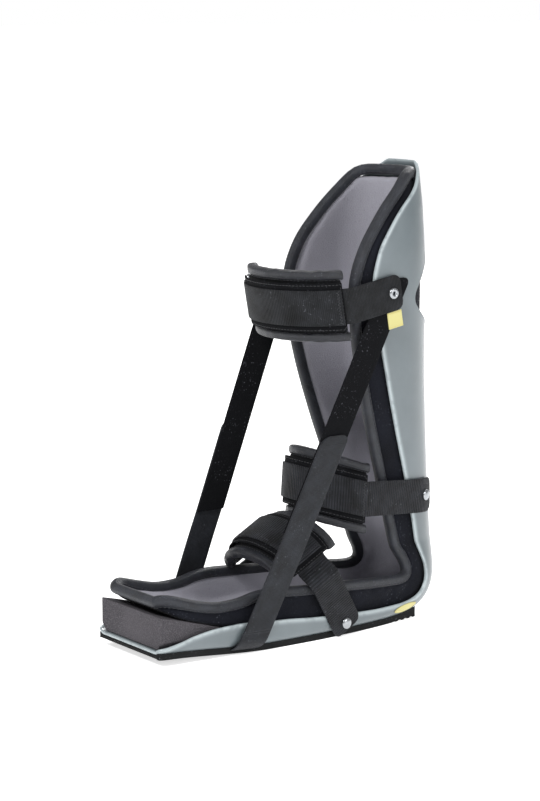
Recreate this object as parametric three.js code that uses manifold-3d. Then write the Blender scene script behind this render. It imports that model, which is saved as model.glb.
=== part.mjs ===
// Night splint for the lower leg and foot, standing on its sole.
// A hard L-shaped trough carries the calf and the sole. It holds a foam liner with a bound edge,
// a toe wedge, three padded cuffs and a pair of side straps that pull the toes up.
// Millimetres, +Z up, toes toward -Y, the wearer's left toward +X.
// The origin is on the floor, under the middle of the sole.

import * as THREE from 'three';
import { mergeVertices } from 'three/addons/utils/BufferGeometryUtils.js';
import Module from 'manifold-3d';

const wasm = await Module();
wasm.setup();

// Driving dimensions of the shell

const SHELL_LENGTH = 303;      // front edge of the sole plate to the back of the heel
const SHELL_HEIGHT = 387;      // underside of the sole plate to the top of the tongue
const SHELL_WALL = 3;          // moulded plastic wall
const SOLE_WIDTH = 108;        // widest stretch of the sole plate, at the arch
const SOLE_CORNER = 9;         // outer radius between the sole plate and its side wall
const LEAST_CORNER = 1.5;      // radius of an inner corner that has no room for its own
const SOLE_RIM = 21.5;         // tallest stretch of the sole's side wall
const HEEL_REACH = 69;         // heel back to the point that the heel sections fan out from
const HEEL_RISE = 63;          // sole plate to the same point
const HEEL_SQUARENESS = 3.3;   // exponent of the heel corner's side view
const HEEL_DEPTH = 34;         // depth of the wings where the heel turns into the leg
const CALF_WIDTH = 108;        // width across the wings at the calf
const WING_DEPTH = 81;         // depth of the wings at the calf
const BACK_LEAN = 18;          // how far the top of the back leans toward the toes
const TOE_SPRING = 6;          // rise of the sole at its front edge
const TOE_SPRING_START = 0.45; // share of the sole in front of the fan that the rise takes
const VENT_WIDTH = 100;        // egg-shaped opening in the back
const VENT_HEIGHT = 84;
const VENT_DEPTH = 52;         // how far it reaches round the sides
const VENT_LEVEL = 0.737;      // middle of the opening, as a share of the shell's height

// Sole, liner and wedge

const OUTSOLE_THICKNESS = 3.4;
const OUTSOLE_WRAP = 38;       // degrees that the rubber climbs round the sole's corner
const LINER_THICKNESS = 8;
const LINER_PROUD = 15;        // how far the foam stands past the rim of the wings
const LINER_FOOT_RIM = 36;     // edge of the foam above the floor, beside the foot
const LINER_TOP_DROP = 14;     // top of the foam below the top of the tongue
const LINER_CURL = 5;          // how far the foam's front edge curls up off the wedge
const BINDING_DIAMETER = 9;    // bound edge of the liner
const WEDGE_HEIGHT = 27;
const WEDGE_LENGTH = 112;
const WEDGE_WIDTH = 88;
const WEDGE_TAIL = 3;          // thickness left at the wedge's thin end
const WEDGE_SETBACK = 3;       // wedge front behind the front of the sole plate
const WEDGE_CHAMFER = 6;       // bevel that clears the corner of the trough
const WEDGE_CHAMFER_SHARE = 0.6; // most of the wedge's own height that the bevel takes

// Webbing, cuffs and fasteners

const WEBBING = 1.5;           // thickness of every strap
const STRAP_WIDTH = 30;        // straps of the cuffs
const SIDE_STRAP_WIDTH = 25;
const PAD_THICKNESS = 8;
const PAD_HEIGHT = 60;         // over both bound edges
const PAD_BINDING = 8;         // height of a bound edge of a pad
const PAD_BINDING_DEPTH = 9;   // its depth, across the pad
const FACING = 1.2;            // loop pile sewn over the strap on the pad
const FACING_HEIGHT = 41;
const FACING_INSET = 4;        // from its end to the end of the pad
const RING_WIRE = 2.8;
const RING_LENGTH = 11;        // between the wire's centre lines, along the strap
const RING_ROOM = 1.6;         // inside the ring, beside each edge of the strap
const RING_BEND = 2;           // cut corner of the ring
const FOLD_LEAD = 8;           // straight webbing before its fold round the wire
const RETURN_LENGTH = 20;      // end of the ring strap, sewn back on itself
const STRAP_TAPER = 4;         // taper of a riveted strap end
const SIDE_STRAP_TOP = 12;     // end of a side strap above the shin rivet
const HOOK_TIP = 6;            // rounded stretch of the stirrup's ends
const RIVET_SHANK = 4.8;
const RIVET_HEAD = 9.6;
const RIVET_DOME = 1.8;
const RIVET_WASHER = 1;
const EYELET_BORE = 2.6;       // through the tubular rivets of the shin cuff
const TAG_LENGTH = 15;
const TAG_HEIGHT = 14;
const TAG_THICKNESS = 0.7;
const LABEL_LENGTH = 27;
const LABEL_HEIGHT = 7;
const LABEL_THICKNESS = 0.4;
const LABEL_AHEAD = 50;        // middle of the oval label ahead of the heel's back
const LABEL_UP = 8;            // and above the underside of the sole plate

const GAP = 0.3;               // clearance between pieces that touch
const LINER_GAP = 1.3;         // clearance round the foam liner
const BINDING_GAP = 0.6;       // between the foam's edge and its binding

// Places of the cuffs, seen from the side. The strap of each cuff leaves its rivet on the shell,
// rises at its pitch toward the toes and goes round the leg in half an ellipse. The shares up and
// depth place the rivet, and ease is extra room between the strap and the shell.

const CUFFS = {
  shin: {
    wall: 'shin', up: 0.675, depth: 0.79, pitch: -10, run: 42, leaves: 12, lift: 7,
    frontHalf: 47.7, frontDepth: 39, padNear: -6, padFar: -37, foldNear: 6, ringBehind: 8,
    tail: 9, end: 0.82, ease: WEBBING + GAP, eyelet: true,
  },
  ankle: {
    wall: 'leg', up: 0.122, depth: 0.54, pitch: 4, run: 66, leaves: 24, lift: 10.5,
    frontHalf: 33, frontDepth: 34, padNear: 2, padFar: -10, foldNear: 4, ringBehind: 9,
    tail: 9, end: 0.82, ease: 0.8, eyelet: false,
  },
  instep: {
    wall: 'foot', up: 0.775, depth: 0.5, pitch: 61, run: 60, leaves: 44, lift: 0,
    frontHalf: 35, frontDepth: 16, padNear: 1, padFar: 0, foldNear: 10, ringBehind: 9,
    tail: 6, end: 0.55, ease: 0, eyelet: false,
  },
};

// Side straps: how far ahead of the shin rivet their top lies, and how many layers of webbing they
// lie over there
const SIDE_STRAPS = {
  left: { ahead: 0, side: 1, lifted: 0 },
  right: { ahead: 34, side: -1, lifted: 3 },
};
const STIRRUP_PLACE = 0.35;    // share of the sole where the strap passes under the shell
const STIRRUP_REACH = 0.435;   // top of its hooked ends, as a share of the shell's height
const SIDE_STRAP_TAIL = 0.24;  // lower end of the side straps, hidden behind the stirrup

// Sections of the shell. Shares: at along the stretch, width of the half width, corner of its
// radii, rim of the wall's height.

const SOLE_SECTIONS = [
  { at: 0.000, width: 0.85, rim: 0.19 },
  { at: 0.010, width: 0.89, rim: 0.22 },
  { at: 0.033, width: 0.915, rim: 0.28 },
  { at: 0.078, width: 0.925, rim: 0.44 },
  { at: 0.143, width: 0.935, rim: 0.67 },
  { at: 0.233, width: 0.945, rim: 0.88 },
  { at: 0.355, width: 0.96, rim: 1.00 },
  { at: 0.498, width: 0.99, rim: 0.93 },
  { at: 0.640, width: 1.00, rim: 0.79 },
  { at: 0.804, width: 0.97, rim: 0.67 },
  { at: 0.927, width: 0.92, rim: 0.59 },
  { at: 1.000, width: 0.875, rim: 0.57 },
];

const HEEL_SECTIONS = [
  { at: 0.00, width: 1.000, across: 0.21, rim: 0.36 },
  { at: 0.20, width: 0.965, across: 0.33, rim: 0.38 },
  { at: 0.40, width: 0.925, across: 0.50, rim: 0.44 },
  { at: 0.55, width: 0.890, across: 0.64, rim: 0.56 },
  { at: 0.70, width: 0.860, across: 0.76, rim: 0.74 },
  { at: 0.85, width: 0.830, across: 0.86, rim: 0.91 },
  { at: 1.00, width: 0.805, across: 0.93, rim: 1.00 },
];

const LEG_SECTIONS = [
  { at: 0.000, lean: 0.00, width: 0.705, inward: 0.90, wing: 0.42, proud: 0.85 },
  { at: 0.075, lean: 0.12, width: 0.720, inward: 0.90, wing: 0.46, proud: 0.95 },
  { at: 0.170, lean: 0.27, width: 0.765, inward: 0.92, wing: 0.535, proud: 1.0 },
  { at: 0.320, lean: 0.49, width: 0.855, inward: 0.93, wing: 0.68, proud: 1.0 },
  { at: 0.450, lean: 0.63, width: 0.920, inward: 0.94, wing: 0.80, proud: 1.0 },
  { at: 0.530, lean: 0.67, width: 0.950, inward: 0.94, wing: 0.875, proud: 0.95 },
  { at: 0.625, lean: 0.71, width: 0.985, inward: 0.93, wing: 0.955, proud: 0.8 },
  { at: 0.700, lean: 0.74, width: 1.000, inward: 0.92, wing: 1.00, proud: 0.6 },
  { at: 0.775, lean: 0.77, width: 0.985, inward: 0.92, wing: 0.92, proud: 0.4 },
  { at: 0.843, lean: 0.81, width: 0.935, inward: 0.92, wing: 0.725, proud: 0.3 },
  { at: 0.895, lean: 0.86, width: 0.880, inward: 0.88, wing: 0.52, proud: 0.3 },
  { at: 0.937, lean: 0.90, width: 0.830, inward: 0.90, wing: 0.30, proud: 0.35 },
  { at: 0.968, lean: 0.94, width: 0.790, inward: 0.90, wing: 0.17, proud: 0.4 },
  { at: 0.988, lean: 0.97, width: 0.765, inward: 0.90, wing: 0.09, proud: 0.4 },
  { at: 1.000, lean: 1.00, width: 0.750, inward: 0.90, wing: 0.055, proud: 0.4 },
];

// Edge of the foam along the sole, as a share of its level beside the foot
const LINER_RIMS = [
  { at: 0.045, rim: 1.130 },
  { at: 0.100, rim: 1.070 },
  { at: 0.180, rim: 0.940 },
  { at: 0.250, rim: 0.875 },
  { at: 0.340, rim: 0.890 },
  { at: 0.400, rim: 0.990 },
  { at: 0.460, rim: 1.020 },
  { at: 0.600, rim: 0.955 },
  { at: 0.750, rim: 0.895 },
  { at: 1.000, rim: 0.757 },
];

// Numbers of steps in the faceted surfaces

const SOLE_STEPS = 11;
const HEEL_STEPS = 7;
const LEG_STEPS = 13;
const FLAT_STEPS = 1;          // on each side of the middle line of a section
const CORNER_STEPS = 5;
const WALL_STEPS = 1;
const CUFF_STEP = 10;          // length of a facet along a cuff
const ROUND_SIDES = 8;
const BAR_SIDES = 6;
const FOLD_STEPS = 6;          // half a turn of webbing round a wire
const VENT_SIDES = 16;
const WEDGE_STEPS = 8;
const TOE_EDGE = { reach: 0.7, steps: 4 };   // the binding across the toes, as a share of each side
const TOP_EDGE = { reach: 0.8, steps: 6 };   // and across the top
const SHARPEST_MITER = -0.4;   // limit on how far a corner of the binding reaches out

// Worked out from the sizes above

const TO_RADIANS = Math.PI / 180;
const SECTION_STEPS = FLAT_STEPS + CORNER_STEPS + WALL_STEPS;
const FRONT_Y = -SHELL_LENGTH / 2;
const HEEL_Y = SHELL_LENGTH / 2;
const BASE_Z = OUTSOLE_THICKNESS + GAP;
const TOP_Z = BASE_Z + SHELL_HEIGHT;
const FAN = { y: HEEL_Y - HEEL_REACH, z: BASE_Z + HEEL_RISE };
const SOLE_RUN = FAN.y - FRONT_Y;
const LEG_RUN = TOP_Z - FAN.z;
const SOLE_HALF = SOLE_WIDTH / 2;
const CALF_HALF = CALF_WIDTH / 2;
const SOLE_END_HALF = SOLE_HALF * SOLE_SECTIONS.at(-1).width;
const STRAP_IN = PAD_THICKNESS + GAP;
const FACING_IN = STRAP_IN + WEBBING + GAP;
const FOLD_IN = FACING_IN + FACING + GAP;

const MATERIALS = {
  plastic: { color: 0x8b9899, roughness: 0.35, metalness: 0 },
  rubber: { color: 0x1b1c1d, roughness: 0.8, metalness: 0 },
  foam_cloth: { color: 0x17181b, roughness: 0.95, metalness: 0 },
  binding: { color: 0x2a2d33, roughness: 0.7, metalness: 0 },
  wedge_foam: { color: 0x2b2c2e, roughness: 0.9, metalness: 0 },
  webbing: { color: 0x1a1b1e, roughness: 0.75, metalness: 0 },
  loop_pile: { color: 0x131316, roughness: 1, metalness: 0 },
  steel: { color: 0xc9ccd0, roughness: 0.25, metalness: 1 },
  yellow: { color: 0xe2d36a, roughness: 0.6, metalness: 0 },
};

// General helpers

const mix = (a, b, t) => a + (b - a) * t;
const mix3 = (a, b, t) => a.clone().lerp(b, t);
const clamp = (value, low, high) => Math.min(Math.max(value, low), high);
const smooth = (t) => t * t * (3 - 2 * t);
const range = (count) => Array.from({ length: count }, (_, i) => i);
const spread = (from, to, steps) => range(steps + 1).map((i) => mix(from, to, i / steps));

// Reads a table at any share, through curves that don't overshoot its rows.
function readTable(rows, column, at) {
  const last = rows.length - 2;
  let i = 0;
  while (i < last && at > rows[i + 1].at) i += 1;
  const slope = (k) => (rows[k + 1][column] - rows[k][column]) / (rows[k + 1].at - rows[k].at);
  const tangent = (k) => {
    if (k === 0) return slope(0);
    if (k === rows.length - 1) return slope(k - 1);
    const before = slope(k - 1);
    const after = slope(k);
    return before * after <= 0 ? 0 : (2 * before * after) / (before + after);
  };
  const width = rows[i + 1].at - rows[i].at;
  const t = clamp((at - rows[i].at) / width, 0, 1);
  const start = rows[i][column];
  const end = rows[i + 1][column];
  const bend = start - end;
  return start + t * (width * tangent(i) * (1 - t) ** 2 - t * (1 - t) * width * tangent(i + 1))
    - bend * t * t * (3 - 2 * t);
}

// A closed body from lists of points and of triangles, turned so that its faces look outward.
function bodyFrom(points, faces) {
  const volume = faces.reduce((sum, [a, b, c]) => {
    const cross = new THREE.Vector3().crossVectors(points[b], points[c]);
    return sum + points[a].dot(cross);
  }, 0);
  const turned = volume < 0 ? faces.map(([a, b, c]) => [a, c, b]) : faces;
  const geometry = new THREE.BufferGeometry();
  const flat = points.flatMap((p) => [p.x, p.y, p.z]);
  geometry.setAttribute('position', new THREE.Float32BufferAttribute(flat, 3));
  geometry.setIndex(turned.flat());
  return geometry;
}

// A sheet with thickness: two grids of points with as many rows and columns, closed round the edge.
// The facets of its two halves mirror each other.
function sheetBetween(outer, inner) {
  const rows = outer.length;
  const columns = outer[0].length;
  const points = [...outer.flat(), ...inner.flat()];
  const out = (i, j) => i * columns + j;
  const back = (i, j) => rows * columns + i * columns + j;
  const faces = [];
  const quad = (a, b, c, d) => faces.push([a, b, c], [a, c, d]);
  for (let i = 0; i < rows - 1; i += 1) {
    for (let j = 0; j < columns - 1; j += 1) {
      if (j < (columns - 1) / 2) {
        quad(out(i + 1, j), out(i + 1, j + 1), out(i, j + 1), out(i, j));
        quad(back(i, j + 1), back(i + 1, j + 1), back(i + 1, j), back(i, j));
      } else {
        quad(out(i, j), out(i + 1, j), out(i + 1, j + 1), out(i, j + 1));
        quad(back(i, j), back(i, j + 1), back(i + 1, j + 1), back(i + 1, j));
      }
    }
    quad(out(i, 0), back(i, 0), back(i + 1, 0), out(i + 1, 0));
    quad(out(i, columns - 1), out(i + 1, columns - 1), back(i + 1, columns - 1), back(i, columns - 1));
  }
  for (let j = 0; j < columns - 1; j += 1) {
    quad(out(0, j), out(0, j + 1), back(0, j + 1), back(0, j));
    quad(out(rows - 1, j), back(rows - 1, j), back(rows - 1, j + 1), out(rows - 1, j + 1));
  }
  return bodyFrom(points, faces);
}

// A bar with an oval section along a row of points, with the section's first axis beside each point.
// A closed bar joins its last point to its first.
function bar(centres, sides, halfAcross, halfAlong, closed, corners) {
  const count = centres.length;
  const points = [];
  centres.forEach((centre, i) => {
    const before = centres[closed ? (i + count - 1) % count : Math.max(i - 1, 0)];
    const after = centres[closed ? (i + 1) % count : Math.min(i + 1, count - 1)];
    const tangent = after.clone().sub(before).normalize();
    const across = sides[i].clone().addScaledVector(tangent, -sides[i].dot(tangent)).normalize();
    const along = new THREE.Vector3().crossVectors(tangent, across);
    range(corners).forEach((k) => {
      const angle = ((k + 0.5) / corners) * 2 * Math.PI;
      points.push(centre.clone()
        .addScaledVector(across, halfAcross * Math.cos(angle))
        .addScaledVector(along, halfAlong * Math.sin(angle)));
    });
  });
  const faces = [];
  const last = closed ? count : count - 1;
  for (let i = 0; i < last; i += 1) {
    const next = ((i + 1) % count) * corners;
    range(corners).forEach((k) => {
      const other = (k + 1) % corners;
      faces.push([i * corners + k, next + k, next + other]);
      faces.push([i * corners + k, next + other, i * corners + other]);
    });
  }
  if (!closed) {
    const end = (count - 1) * corners;
    for (let k = 1; k < corners - 1; k += 1) {
      faces.push([0, k, k + 1]);
      faces.push([end, end + k + 1, end + k]);
    }
  }
  return bodyFrom(points, faces);
}

function toSolid(geometry) {
  const plain = geometry.clone();
  plain.deleteAttribute('normal');
  plain.deleteAttribute('uv');
  const merged = mergeVertices(plain, 1e-4);
  return new wasm.Manifold(new wasm.Mesh({
    numProp: 3,
    vertProperties: new Float32Array(merged.attributes.position.array),
    triVerts: new Uint32Array(merged.index.array),
  }));
}

function fromSolid(solid) {
  const mesh = solid.getMesh();
  const geometry = new THREE.BufferGeometry();
  geometry.setAttribute('position', new THREE.BufferAttribute(new Float32Array(mesh.vertProperties), 3));
  geometry.setIndex(new THREE.BufferAttribute(new Uint32Array(mesh.triVerts), 1));
  return geometry;
}

const cutAll = (geometry, cutters) => fromSolid(
  cutters.reduce((solid, cutter) => solid.subtract(toSolid(cutter)), toSolid(geometry)),
);

// The shell's form. A station is a place along the sole, round the heel and up the leg, counted
// 0 to 1, 1 to 2 and 2 to 3. Its section lies across the middle line, with n measured inward.

const springAt = (place) => TOE_SPRING * smooth(clamp(1 - place / TOE_SPRING_START, 0, 1));

function stationAt(place) {
  if (place <= 1) {
    return {
      y: FRONT_Y + place * SOLE_RUN,
      z: BASE_Z + springAt(place),
      inY: 0,
      inZ: 1,
      half: SOLE_HALF * readTable(SOLE_SECTIONS, 'width', place),
      across: SOLE_CORNER,
      inward: SOLE_CORNER,
      rim: SOLE_RIM * readTable(SOLE_SECTIONS, 'rim', place),
      proud: LINER_PROUD,
    };
  }
  if (place <= 2) {
    const share = place - 1;
    const angle = (1 - share) * Math.PI / 2;
    const reach = ((Math.cos(angle) / HEEL_REACH) ** HEEL_SQUARENESS
      + (Math.sin(angle) / HEEL_RISE) ** HEEL_SQUARENESS) ** (-1 / HEEL_SQUARENESS);
    const startHalf = SOLE_END_HALF;
    const endHalf = CALF_HALF * LEG_SECTIONS[0].width;
    const widthShare = (readTable(HEEL_SECTIONS, 'width', share) - HEEL_SECTIONS.at(-1).width)
      / (HEEL_SECTIONS[0].width - HEEL_SECTIONS.at(-1).width);
    const half = mix(endHalf, startHalf, widthShare);
    const startRim = SOLE_RIM * SOLE_SECTIONS.at(-1).rim;
    const rimShare = (readTable(HEEL_SECTIONS, 'rim', share) - HEEL_SECTIONS[0].rim)
      / (HEEL_SECTIONS.at(-1).rim - HEEL_SECTIONS[0].rim);
    const cornerShare = (readTable(HEEL_SECTIONS, 'across', share) - HEEL_SECTIONS[0].across)
      / (HEEL_SECTIONS.at(-1).across - HEEL_SECTIONS[0].across);
    return {
      y: FAN.y + reach * Math.cos(angle),
      z: FAN.z - reach * Math.sin(angle),
      inY: -Math.cos(angle),
      inZ: Math.sin(angle),
      half,
      across: mix(SOLE_CORNER, endHalf * HEEL_SECTIONS.at(-1).across, cornerShare),
      inward: mix(SOLE_CORNER, endHalf * LEG_SECTIONS[0].inward, cornerShare),
      rim: mix(startRim, HEEL_DEPTH, rimShare),
      proud: LINER_PROUD * mix(1, LEG_SECTIONS[0].proud, share),
    };
  }
  const share = place - 2;
  const half = CALF_HALF * readTable(LEG_SECTIONS, 'width', share);
  const wing = readTable(LEG_SECTIONS, 'wing', share);
  const startWing = LEG_SECTIONS[0].wing;
  return {
    y: HEEL_Y - BACK_LEAN * readTable(LEG_SECTIONS, 'lean', share),
    z: FAN.z + share * LEG_RUN,
    inY: -1,
    inZ: 0,
    half,
    across: half * HEEL_SECTIONS.at(-1).across,
    inward: half * readTable(LEG_SECTIONS, 'inward', share),
    rim: wing > startWing
      ? mix(HEEL_DEPTH, WING_DEPTH, (wing - startWing) / (1 - startWing))
      : (HEEL_DEPTH * wing) / startWing,
    proud: LINER_PROUD * readTable(LEG_SECTIONS, 'proud', share),
  };
}

// A point of a section: side from -1 to 1 counts its steps from rim to rim, offset goes inward from
// the outer face, and height is how far the wall reaches.
function sectionPoint(station, offset, height, side) {
  const across = Math.max(station.across - offset, LEAST_CORNER);
  const inward = Math.max(station.inward - offset, LEAST_CORNER);
  const flat = station.half - offset - across;
  const turn = Math.acos(clamp(1 - height / station.inward, 0, 1));
  const straight = Math.max(height - station.inward, 0);
  const flatEnd = FLAT_STEPS / SECTION_STEPS;
  const cornerEnd = mix(1, (FLAT_STEPS + CORNER_STEPS) / SECTION_STEPS, Math.min(straight / SHELL_WALL, 1));
  const share = Math.abs(side);
  let x = (flat * share) / flatEnd;
  let n = offset;
  if (share > flatEnd) {
    const angle = turn * Math.min((share - flatEnd) / (cornerEnd - flatEnd), 1);
    const wall = Math.max(height - offset - inward, 0);
    const rest = share > cornerEnd ? (wall * (share - cornerEnd)) / (1 - cornerEnd) : 0;
    x = flat + across * Math.sin(angle);
    n = offset + inward * (1 - Math.cos(angle)) + rest;
  }
  return new THREE.Vector3(
    Math.sign(side) * x,
    station.y + station.inY * n,
    station.z + station.inZ * n,
  );
}

// The half width of the outer face, moved inward by offset, at n above the middle line.
function wallX(station, n, offset) {
  const flat = station.half - station.across;
  if (n >= station.inward) return station.half - offset;
  const lean = clamp((station.inward - n) / (station.inward - offset), -1, 1);
  return flat + (station.across - offset) * Math.sqrt(1 - lean * lean);
}

function legX(y, z, offset) {
  const station = stationAt(2 + clamp((z - FAN.z) / LEG_RUN, 0, 1));
  return wallX(station, station.y - y, offset);
}

function footX(y, z, offset) {
  const station = stationAt(clamp((y - FRONT_Y) / SOLE_RUN, 0, 1));
  return wallX(station, z - station.z, offset);
}

const HEEL_PLACES = spread(1, 2, HEEL_STEPS).slice(1);
const TOP_PLACES = [2.855, 2.9, 2.93, 2.957, 2.985, 3];
const LEG_PLACES = [...spread(2, 2.8, LEG_STEPS - TOP_PLACES.length).slice(1), ...TOP_PLACES];
const SHELL_PLACES = [0, 0.01, 0.033, ...spread(0.075, 1, SOLE_STEPS - 3), ...HEEL_PLACES, ...LEG_PLACES];

function shellGrid(offset) {
  return SHELL_PLACES.map((place) => {
    const station = stationAt(place);
    return spread(-1, 1, 2 * SECTION_STEPS).map((side) => (
      sectionPoint(station, offset, station.rim, side)));
  });
}

// Cuffs. A point of a cuff is given by s along the strap from the front of the leg, positive on the
// wearer's left, o outward from the pad's inner face and k up across the strap. The cuff line is
// the inner face of the strap, and all layers stand square to it.

function cuffFrame(cuff) {
  const station = stationAt(cuff.wall === 'foot' ? cuff.up : 2 + cuff.up);
  const inset = cuff.depth * station.rim;
  const walls = {
    shin: (y, z, offset) => CALF_HALF - offset,
    leg: legX,
    foot: (y, z, offset) => footX(y, BASE_Z + TOE_SPRING + SOLE_CORNER, offset),
  };
  return {
    ...cuff,
    onWall: walls[cuff.wall],
    rivetY: station.y + station.inY * inset,
    rivetZ: station.z + station.inZ * inset,
    pitch: cuff.pitch * TO_RADIANS,
    quarter: (Math.PI / 2) * Math.sqrt(((cuff.frontHalf + STRAP_IN) ** 2
      + (cuff.frontDepth + STRAP_IN) ** 2) / 2),
  };
}

function cuffLine(frame, s, k) {
  const past = Math.abs(s) - frame.quarter;
  const angle = clamp(Math.abs(s) / frame.quarter, 0, 1) * (Math.PI / 2);
  const reach = frame.frontDepth + STRAP_IN;
  const halfAcross = frame.frontHalf + STRAP_IN;
  const forward = past > 0 ? frame.run - past : frame.run + reach * Math.cos(angle);
  const y = frame.rivetY - forward * Math.cos(frame.pitch) + k * Math.sin(frame.pitch);
  const z = frame.rivetZ + forward * Math.sin(frame.pitch) + k * Math.cos(frame.pitch)
    + frame.lift * Math.cos(angle);
  const spreading = smooth(clamp(past / (frame.run - frame.leaves), 0, 1));
  const x = past > 0
    ? mix(halfAcross, frame.onWall(y, z, -(GAP + frame.ease)), spreading)
    : halfAcross * Math.sin(angle);
  return new THREE.Vector3((Math.sign(s) || 1) * x, y, z);
}

function cuffPoint(frame, s, o, k) {
  const along = cuffLine(frame, s + 0.5, k).sub(cuffLine(frame, s - 0.5, k));
  const up = new THREE.Vector3(0, Math.sin(frame.pitch), Math.cos(frame.pitch));
  const outward = new THREE.Vector3().crossVectors(along, up).normalize();
  return cuffLine(frame, s, k).addScaledVector(outward, o - STRAP_IN);
}

// A band that follows a path of [s, o] pairs, with a half height for each pair or one for all.
function cuffBand(frame, path, thickness, low, high) {
  const normalAt = (i) => {
    const before = path[Math.max(i - 1, 0)];
    const after = path[Math.min(i + 1, path.length - 1)];
    const along = new THREE.Vector2(after[0] - before[0], after[1] - before[1]).normalize();
    return [-along.y, along.x];
  };
  const grid = (move) => path.map(([s, o], i) => {
    const [acrossS, acrossO] = normalAt(i);
    return [low(i), high(i)].map((k) => (
      cuffPoint(frame, s + acrossS * move, o + acrossO * move, k)));
  });
  return sheetBetween(grid(thickness / 2), grid(-thickness / 2));
}

// Steps along s that all layers of a cuff share, so that their facets stay parallel. The marks are
// the places where a layer ends.
function sharedSteps(marks, length) {
  const count = Math.floor(length / CUFF_STEP);
  const even = range(2 * count + 1).map((i) => (i - count) * CUFF_STEP)
    .filter((s) => marks.every((mark) => Math.abs(mark - s) > CUFF_STEP / 3));
  return [...even, ...marks].sort((a, b) => a - b);
}

// Half a turn of webbing round a wire, from the inner layer to the outer one or back.
function foldRound(centreS, centreO, radius, direction, from, to) {
  return spread(from, to, FOLD_STEPS).map((degrees) => [
    centreS + direction * radius * Math.cos(degrees * TO_RADIANS),
    centreO + radius * Math.sin(degrees * TO_RADIANS),
  ]);
}

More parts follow.
